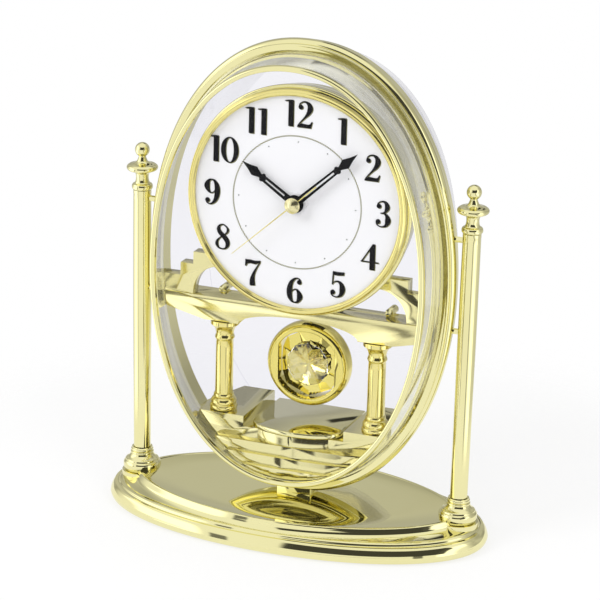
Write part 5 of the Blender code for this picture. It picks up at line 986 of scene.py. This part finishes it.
def makeNumbers():
    height, flat = dial["numberHeight"], dial["shadowThickness"] / dial["raised"]
    solids = {mark: numberSolid(mark, dial["raised"] / height) for mark in numberShapes}
    layers = (("dialNumbers", "blackEnamel", bmesh.new(), 1.0, (0, 0)),
              ("numberShadows", "shadowPrint", bmesh.new(), flat, dial["shadowShift"]))
    for hour in range(1, 13):
        marks = str(hour)
        widths = [numberShapes[mark]["width"] for mark in marks]
        space = dial["spacing"].get(marks, 0)
        start = -(sum(widths) + space * (len(marks) - 1)) / 2
        angle = turn * hour / 12
        middle = Vector((math.sin(angle), math.cos(angle), 0)) * dial["numberRadius"]
        for mark, width in zip(marks, widths):
            shift = Vector((start, -0.5, 0)) * height
            for _, _, store, raised, slide in layers:
                mesh = solids[mark].data.copy()
                place = Matrix.Translation(middle + shift + Vector((*slide, dial["face"]))) \
                    @ Matrix.Diagonal((height, height, height * raised, 1))
                mesh.transform(onDial @ place)
                store.from_mesh(mesh)
                bpy.data.meshes.remove(mesh)
            start += width + space
    for name, finish, store, _, _ in layers:
        mesh = bpy.data.meshes.new(name)
        store.to_mesh(mesh)
        store.free()
        addObject(name, mesh, finish)
    for solid in solids.values():
        bpy.data.objects.remove(solid)


# Links of a rope ring and hour dots, set round the dial by a node tree. Sizes in mm
roundTheDial = {
    "ropeRing": {"link": (0.3, 0.9, 0.25, 8), "radius": 37 * mm, "count": 150,
                 "slant": math.radians(-24), "finish": "shadowPrint"},
    "hourDots": {"link": (0.36, 0.36, 0.15, 12), "radius": 33.8 * mm, "count": 12, "slant": 0.0,
                 "finish": "blackEnamel"},
}
linkMaking = {"crown": 0.6, "waist": 0.5, "sharp": 40}


def circleTree():
    tree, grow, inputs = newTree("roundTheDial", (
        ("Link", "Geometry"), ("Radius", "Float"), ("Count", "Int"), ("Slant", "Float"),
        ("Finish", "Material")))
    path = grow.add("GeometryNodeMeshCircle", {"fill_type": "NONE"},
                    {"Vertices": inputs["Count"], "Radius": inputs["Radius"]})
    around = grow.add("GeometryNodeInputIndex") / inputs["Count"] * turn + inputs["Slant"]
    endTree(grow, turnedCopies(grow, path, inputs["Link"], around), inputs["Finish"])
    return tree


def makeRoundTheDial():
    tree = circleTree()
    for name, ring in roundTheDial.items():
        halfX, halfY, height = (part * mm for part in ring["link"][:3])
        crown, waist = linkMaking["crown"], linkMaking["waist"]
        link = skin([[(x * share, y * share, height * up)
                      for x, y in oval(halfX, halfY, ring["link"][3])]
                     for share, up in ((1, 0), (1, waist), (crown, 1))])
        item = growPiece(newItem("link", *link), tree, {
            "Radius": ring["radius"], "Count": ring["count"], "Slant": ring["slant"],
            "Finish": finishes[ring["finish"]]})
        item.data.transform(onDial @ Matrix.Translation((0, 0, dial["face"])))
        tidyMesh(item.data, linkMaking["sharp"])
        adopt(item, name, ring["finish"])


makeDrum()
makeBezelAndPlate()
makeNumbers()
makeRoundTheDial()
print("dial ready")

# Hands: flat blades with a slit and a leaf-shaped end, and a spun cap. Slits and blades in mm
hands = {
    "hour_hand": {"name": "hourHand", "body": "hour_train", "turn": math.radians(-56.5),
                  "boss": 5 * mm, "slit": (0.55, 7.2, 20.4),
                  "blade": ((2.05, 3), (1.75, 21.5), (2.4, 22.3), (2.4, 23.3), (1.1, 24.1),
                            (1.6, 25.4), (2.9, 28.4), (1.25, 32.4), (0, 36.8))},
    "minute_hand": {"name": "minuteHand", "body": "minute_train", "turn": math.radians(47.8),
                    "boss": 4.5 * mm, "slit": (0.5, 8.2, 30.6),
                    "blade": ((1.95, 3), (1.55, 32), (2.2, 32.8), (2.2, 33.8), (1, 34.7),
                              (1.5, 36), (2.9, 39.2), (1.2, 43.6), (0, 48.4))},
    "edge": 0.1 * mm, "bossSides": 64, "boreSides": 48,
    "capRadius": 4.4 * mm, "capHeight": 2.5 * mm, "capFoot": 18.5 * mm, "capSteps": 5,
    "capLine": ((0.8, 0, 1), (0.93, 0.02), (1, 0.12), (0.97, 0.26), (0.9, 0.36, 1), (0.5, 0.78),
                (0.2, 0.96), (0, 1, 1)),
}


def makeHand(node):
    hand, fromDial = hands[node], onDial.inverted()
    corners = [fromDial @ corner.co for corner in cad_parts[node].data.vertices]
    bore = min(corner.xy.length for corner in corners)
    low, high = min(corner.z for corner in corners), max(corner.z for corner in corners)
    place = onDial @ Matrix.Rotation(-hand["turn"], 4, "Z")
    disc = oval(hand["boss"], hand["boss"], hands["bossSides"])
    boss = guide("boss", slab(disc, low, high), place)
    half = [(x * mm, y * mm) for x, y in hand["blade"]]
    combine(boss, "UNION", [guide("blade", slab(mirrored(half), low, high), place)])
    slit = box(*(part * mm for part in hand["slit"]))
    cuts = [guide("cut", slab(outline, low - overrun, high + overrun), place)
            for outline in (slit, oval(bore, bore, hands["boreSides"]))]
    combine(boss, "DIFFERENCE", cuts)
    adopt(bevelled(boss, hands["edge"], segments=1), hand["name"], "blackEnamel", hand["body"],
          [node])


def makeNeedleAndCap():
    needle = newItem("needle", [])
    needle.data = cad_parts["second_hand"].data.copy()
    adopt(bevelled(needle, hands["edge"]), "secondHand", "pillarGold", "seconds_train",
          ["second_hand"])
    cap = scaled(smooth(hands["capLine"], hands["capSteps"]), hands["capRadius"],
                 hands["capHeight"], hands["capFoot"])
    turnedPiece("handCap", closed(cap), "spunGold", onDial, ["hand_cap"], "seconds_train")


makeHand("hour_hand")
makeHand("minute_hand")
makeNeedleAndCap()

# Pendulum: a broad hoop with flat sides, a star of bright petals and two cut stones
pendulum = {
    "place": (0, 14.6 * mm, 87 * mm), "radius": 24.2 * mm, "depth": 12.4 * mm,
    "opening": 19.4 * mm, "flat": 16.6 * mm, "sides": 128,
    "rim": ((0.86, 0.5, 1), (0.9, 0.485), (0.955, 0.4), (0.99, 0.26), (1, 0.12)),
    "rimSteps": 4, "rimEdge": 0.45 * mm, "rimSharp": 40,
    "petals": 8, "petalThickness": 1.6 * mm, "notch": 0.95, "sheet": 0.3 * mm,
    "crease": ((0.2, 0.9), (0.5, 1), (1, 0.6)),
    "stoneRadius": 12.5 * mm, "stoneHeight": 4.8 * mm, "seat": 1.1 * mm, "stoneSides": 10,
    "cut": ((0.06, 0, 0), (0.5, 0.2, 0), (0.97, 0.42, 0.5), (1, 0.5, 0.5), (0.78, 0.68, 0),
            (0.48, 0.88, 0.5), (0.2, 1, 0)),
    "facetSharp": 2,
}
swing = leaned @ Matrix.Translation(pendulum["place"]) @ facing


def makeHoop():
    front = scaled(smooth(pendulum["rim"], pendulum["rimSteps"]), pendulum["radius"],
                   pendulum["depth"])
    line = front + [(radius, -height) for radius, height in reversed(front)]
    disc = guide("disc", lathe(closed(line), pendulum["sides"]), swing)
    flat, opening, depth = pendulum["flat"], pendulum["opening"], pendulum["depth"]
    outline = [(max(-flat, min(flat, x)), y) for x, y in oval(opening, opening, pendulum["sides"])]
    combine(disc, "DIFFERENCE", [guide("opening", slab(outline, -depth, depth), swing)])
    hoop = bevelled(disc, pendulum["rimEdge"], segments=3, angle=pendulum["rimSharp"])
    adopt(hoop, "hoop", "richGold", "pendulum", ["hoop"])


# Petals: one creased petal, repeated round the middle and kept between the hoop's flat sides
def petalTree():
    tree, grow, inputs = newTree("petalRing", (("Petal", "Geometry"), ("Count", "Int"),
                                               ("Half Width", "Float"), ("Finish", "Material")))
    seeds = grow.add("GeometryNodePoints", {}, {"Count": inputs["Count"]})
    around = grow.add("GeometryNodeInputIndex") / inputs["Count"] * turn
    star = grow.add("GeometryNodeRealizeInstances", {}, {
        "Geometry": turnedCopies(grow, seeds, inputs["Petal"], around)})
    place = grow.axes(grow.add("GeometryNodeInputPosition"))
    across = grow.add("ShaderNodeClamp", {}, [place["X"], -inputs["Half Width"],
                                              inputs["Half Width"]])
    kept = grow.add("ShaderNodeCombineXYZ", {}, [across, place["Y"], place["Z"]])
    star = grow.add("GeometryNodeSetPosition", {}, {"Geometry": star, "Position": kept})
    endTree(grow, star, inputs["Finish"])
    return tree


def makePetals():
    reach, sheet = pendulum["opening"] - gap, pendulum["sheet"]
    fold, span = (pendulum["petalThickness"] - sheet) / 2, math.pi / pendulum["petals"]
    (nearShare, nearUp), (midShare, midUp), (tipShare, tipUp) = pendulum["crease"]
    notch = reach * pendulum["notch"]
    points, faces = [], []
    # upper skin, then lower: middle, crest, tip, two notches, inner crest
    for low, lift in ((0, sheet / 2), (6, -sheet / 2)):
        points += [(0, 0, lift), (reach * midShare, 0, lift + fold * midUp),
                   (reach * tipShare, 0, lift + fold * tipUp)]
        points += [(notch * math.cos(span), way * notch * math.sin(span), lift - fold)
                   for way in (1, -1)]
        points.append((reach * nearShare, 0, lift + fold * nearUp))
        faces += [tuple(low + corner for corner in face) for face in (
            (0, 5, 3), (5, 1, 3), (1, 2, 3), (0, 4, 5), (5, 4, 1), (1, 4, 2))]
    faces += [(2, 3, 9, 8), (4, 2, 8, 10), (3, 0, 6, 9), (0, 4, 10, 6)]
    item = growPiece(newItem("petal", points, faces), petalTree(), {
        "Count": pendulum["petals"], "Half Width": pendulum["flat"] - gap,
        "Finish": finishes["richGold"]})
    item.data.transform(swing)
    tidyMesh(item.data, pendulum["facetSharp"])
    adopt(item, "petals", "richGold", "pendulum", ["petals"])


def makeStones():
    radius, height, seat = pendulum["stoneRadius"], pendulum["stoneHeight"], pendulum["seat"]
    sides, cut = pendulum["stoneSides"], pendulum["cut"]
    for name, node, way in (("stoneFront", "crystal_front", 1), ("stoneRear", "crystal_rear", -1)):
        points, faces = [], []
        for share, up, shift in cut:
            for side in range(sides):
                angle = turn * (side + shift) / sides
                points.append((share * radius * math.cos(angle), share * radius * math.sin(angle),
                               way * (seat + up * height)))
        for row, (lower, upper) in enumerate(zip(cut, cut[1:])):
            low, high = row * sides, (row + 1) * sides
            lead = upper[2] - lower[2]
            for side in range(sides):
                after = (side + 1) % sides
                a, b, c, d = low + side, low + after, high + after, high + side
                if lead > 0:
                    faces += [(a, b, d), (b, c, d)]
                elif lead < 0:
                    faces += [(a, b, c), (a, c, d)]
                else:
                    faces.append((a, b, c, d))
        faces += [tuple(range(sides)), tuple(range(len(points) - sides, len(points)))]
        stone = guide(name, (points, faces), swing, pendulum["facetSharp"])
        adopt(stone, name, "cutCrystal", "pendulum", [node])


makeHoop()
makePetals()
makeStones()
print("hands and pendulum ready")

# The other nodes keep their CAD shape and get their finish
nodeFinishes = {
    "paleGold": "pin_lower_left pin_lower_right pin_upper_left pin_upper_right",
    "clearPlastic": "rear_door",
    "darkPlastic": "base_cover battery motor_housing",
    "dialWhite": "dial_nut",
    "whitePlastic": "drive_wheel movement_case movement_lid rotor set_knob",
    "steel": "contact_left contact_right post_screw_left post_screw_right spindle stator",
    "greyRubber": "pad_front_left pad_front_right pad_rear_left pad_rear_right",
    "plainBrass": "cannon_pinion centre_wheel hour_wheel motion_wheel seconds_wheel third_wheel",
    "copperWire": "coil drive_coil",
    "greenBoard": "circuit_board",
}
named = {node: finish for finish, nodes in nodeFinishes.items() for node in nodes.split()}
for node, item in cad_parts.items():
    item.data.materials.clear()
    item.data.materials.append(finishes[named.get(node, "paleGold")])

# Floor, lamps, camera, and the room that the plating mirrors: each patch is low, high and how
# soft its edge is, along x, y and z. A dark patch darkens, a bright one lightens
studio = {
    "targetHeight": 130 * mm, "azimuth": 21.5, "elevation": 21.4, "distance": 1.809,
    "lens": 199.2, "sensor": 36.0, "shiftX": 2.6 / 600, "farthest": 50,
    "floorColour": (0.9, 0.9, 0.9), "floorRoughness": 0.9, "floorGlow": 0.72, "floorFade": 0.2,
    "floorReach": 0.3, "floorSides": 96,
    "lamps": {"keyLamp": ((-0.9, -1.1, 1.3), 0.9, 12.5), "fillLamp": ((1.1, -0.7, 0.9), 0.8, 6.2)},
    "lampAim": (0, 0, 0.12), "worldLevel": 0.82, "olive": 0.5, "lowGrey": 0.68, "bright": 0.6,
    "dark": 0.06, "stripes": 0.85, "patchScale": 3.5, "patchy": (1.2, 0.4),
    "patches": {
        "behind": {"Y": (0.2, 2.0, 0.25), "Z": (-0.12, 0.75, 0.12)},
        "below": {"Y": (0.2, 2.0, 0.25), "Z": (-0.8, -0.12, 0.12)},
        "slate": {"X": (-0.22, 0.17, 0.02), "Z": (0.56, 0.76, 0.03), "Y": (0.1, 2.0, 0.1)},
        "crown": {"X": (-0.27, -0.13, 0.015), "Z": (0.3, 0.4, 0.02), "Y": (0.1, 2.0, 0.1)},
        "panel": {"Y": (-1.1, -0.25, 0.02), "Z": (0.1, 0.72, 0.02), "X": (-0.26, 0.85, 0.02)},
        "stripLeft": {"X": (-0.57, -0.49, 0.01), "Z": (-0.7, 0.25, 0.05), "Y": (-1.1, 0.1, 0.05)},
        "stripRight": {"X": (0.55, 0.64, 0.01), "Z": (-0.7, 0.25, 0.05), "Y": (-1.1, 0.1, 0.05)},
        "brightLeft": {"X": (-0.95, -0.62, 0.03), "Y": (-1.1, 0.1, 0.05), "Z": (-0.8, 0.6, 0.1)},
        "brightRight": {"X": (0.78, 0.95, 0.03), "Y": (-1.1, 0.1, 0.05), "Z": (-0.8, 0.6, 0.1)},
    },
}


# The floor shows white to the camera and to the plating, keeps the shadow and fades out
def makeFloor():
    material, shade = newMaterial("paleFloor")
    path = shade.add("ShaderNodeLightPath")
    seen = shade.maths("MAXIMUM", path["Is Camera Ray"], path["Is Glossy Ray"])
    seen = shade.maths("MAXIMUM", seen, path["Is Transmission Ray"])
    matt = shade.surface({"Base Color": opaque(studio["floorColour"]),
                          "Roughness": studio["floorRoughness"]})
    glow = shade.add("ShaderNodeEmission", {}, {"Color": (1, 1, 1, 1), "Strength": 1.0})
    lit = shade.blendShaders(seen * studio["floorGlow"], matt, glow)
    away = shade.add("ShaderNodeVectorMath", {"operation": "LENGTH"}, [shade.place()], out="Value")
    fade = shade.step(away, studio["floorFade"], studio["floorReach"])
    shade.finish(shade.blendShaders(fade, lit, shade.seeThrough((1, 1, 1))))
    outline = oval(studio["floorReach"], studio["floorReach"], studio["floorSides"])
    floor = newItem("paleFloor", [(x, y, 0) for x, y in outline], [tuple(range(len(outline)))])
    floor.data.materials.append(material)


def makeWorld():
    world = bpy.data.worlds.new("studio")
    bpy.context.scene.world = world
    shade = Shade(world)
    way = shade.axes(shade.place("Generated"))

    def patch(name):
        inside = 1.0
        for axis, (low, high, soft) in studio["patches"][name].items():
            inside = shade.step(way[axis], low - soft, low + soft) * inside
            inside = inside * (1.0 - shade.step(way[axis], high - soft, high + soft))
        return inside

    def background(colour, strength):
        return shade.add("ShaderNodeBackground", {}, {"Color": colour, "Strength": strength})

    strips = (patch("stripLeft") + patch("stripRight")) * studio["stripes"]
    dark = shade.maths("ADD", patch("slate") + patch("crown") + patch("panel"), strips,
                       use_clamp=True)
    spread, least = studio["patchy"]
    patchy = shade.noise(studio["patchScale"], 1.0, "Generated") * spread + least
    grey = patch("behind") * (1 - studio["olive"]) + patch("below") * (1 - studio["lowGrey"])
    level = 1.0 - grey * patchy + (patch("brightLeft") + patch("brightRight")) * studio["bright"]
    level = level * (1.0 - dark * (1 - studio["dark"]))
    room = background(shade.add("ShaderNodeCombineXYZ", {}, [level, level, level]), 1.0)
    path = shade.add("ShaderNodeLightPath")
    shown = shade.blendShaders(path["Is Glossy Ray"],
                               background((1, 1, 1, 1), studio["worldLevel"]), room)
    straight = shade.maths("MAXIMUM", path["Is Camera Ray"], path["Is Transmission Ray"])
    shade.finish(shade.blendShaders(straight, shown, background((1, 1, 1, 1), 1.0)),
                 "ShaderNodeOutputWorld")


def makeLamps():
    for name, (place, size, power) in studio["lamps"].items():
        lamp = bpy.data.lights.new(name, "AREA")
        lamp.energy, lamp.size = power, size
        item = bpy.data.objects.new(name, lamp)
        item.location = place
        way = Vector(studio["lampAim"]) - Vector(place)
        item.rotation_euler = way.to_track_quat("-Z", "Y").to_euler()
        item.visible_glossy = False
        bpy.context.collection.objects.link(item)


def makeCamera():
    data = bpy.data.cameras.new("camera")
    data.lens, data.sensor_width, data.sensor_fit = studio["lens"], studio["sensor"], "HORIZONTAL"
    data.shift_x, data.clip_end = studio["shiftX"], studio["farthest"]
    around, up = math.radians(studio["azimuth"]), math.radians(studio["elevation"])
    way = Vector((math.sin(around) * math.cos(up), -math.cos(around) * math.cos(up), math.sin(up)))
    target = Vector((0, stance["shiftY"], studio["targetHeight"]))
    camera = bpy.data.objects.new("camera", data)
    camera.location = target + way * studio["distance"]
    camera.rotation_euler = (-way).to_track_quat("-Z", "Y").to_euler()
    bpy.context.collection.objects.link(camera)
    bpy.context.scene.camera = camera


makeFloor()
makeWorld()
makeLamps()
makeCamera()
bpy.context.scene.view_settings.view_transform = "Standard"
print("studio ready")
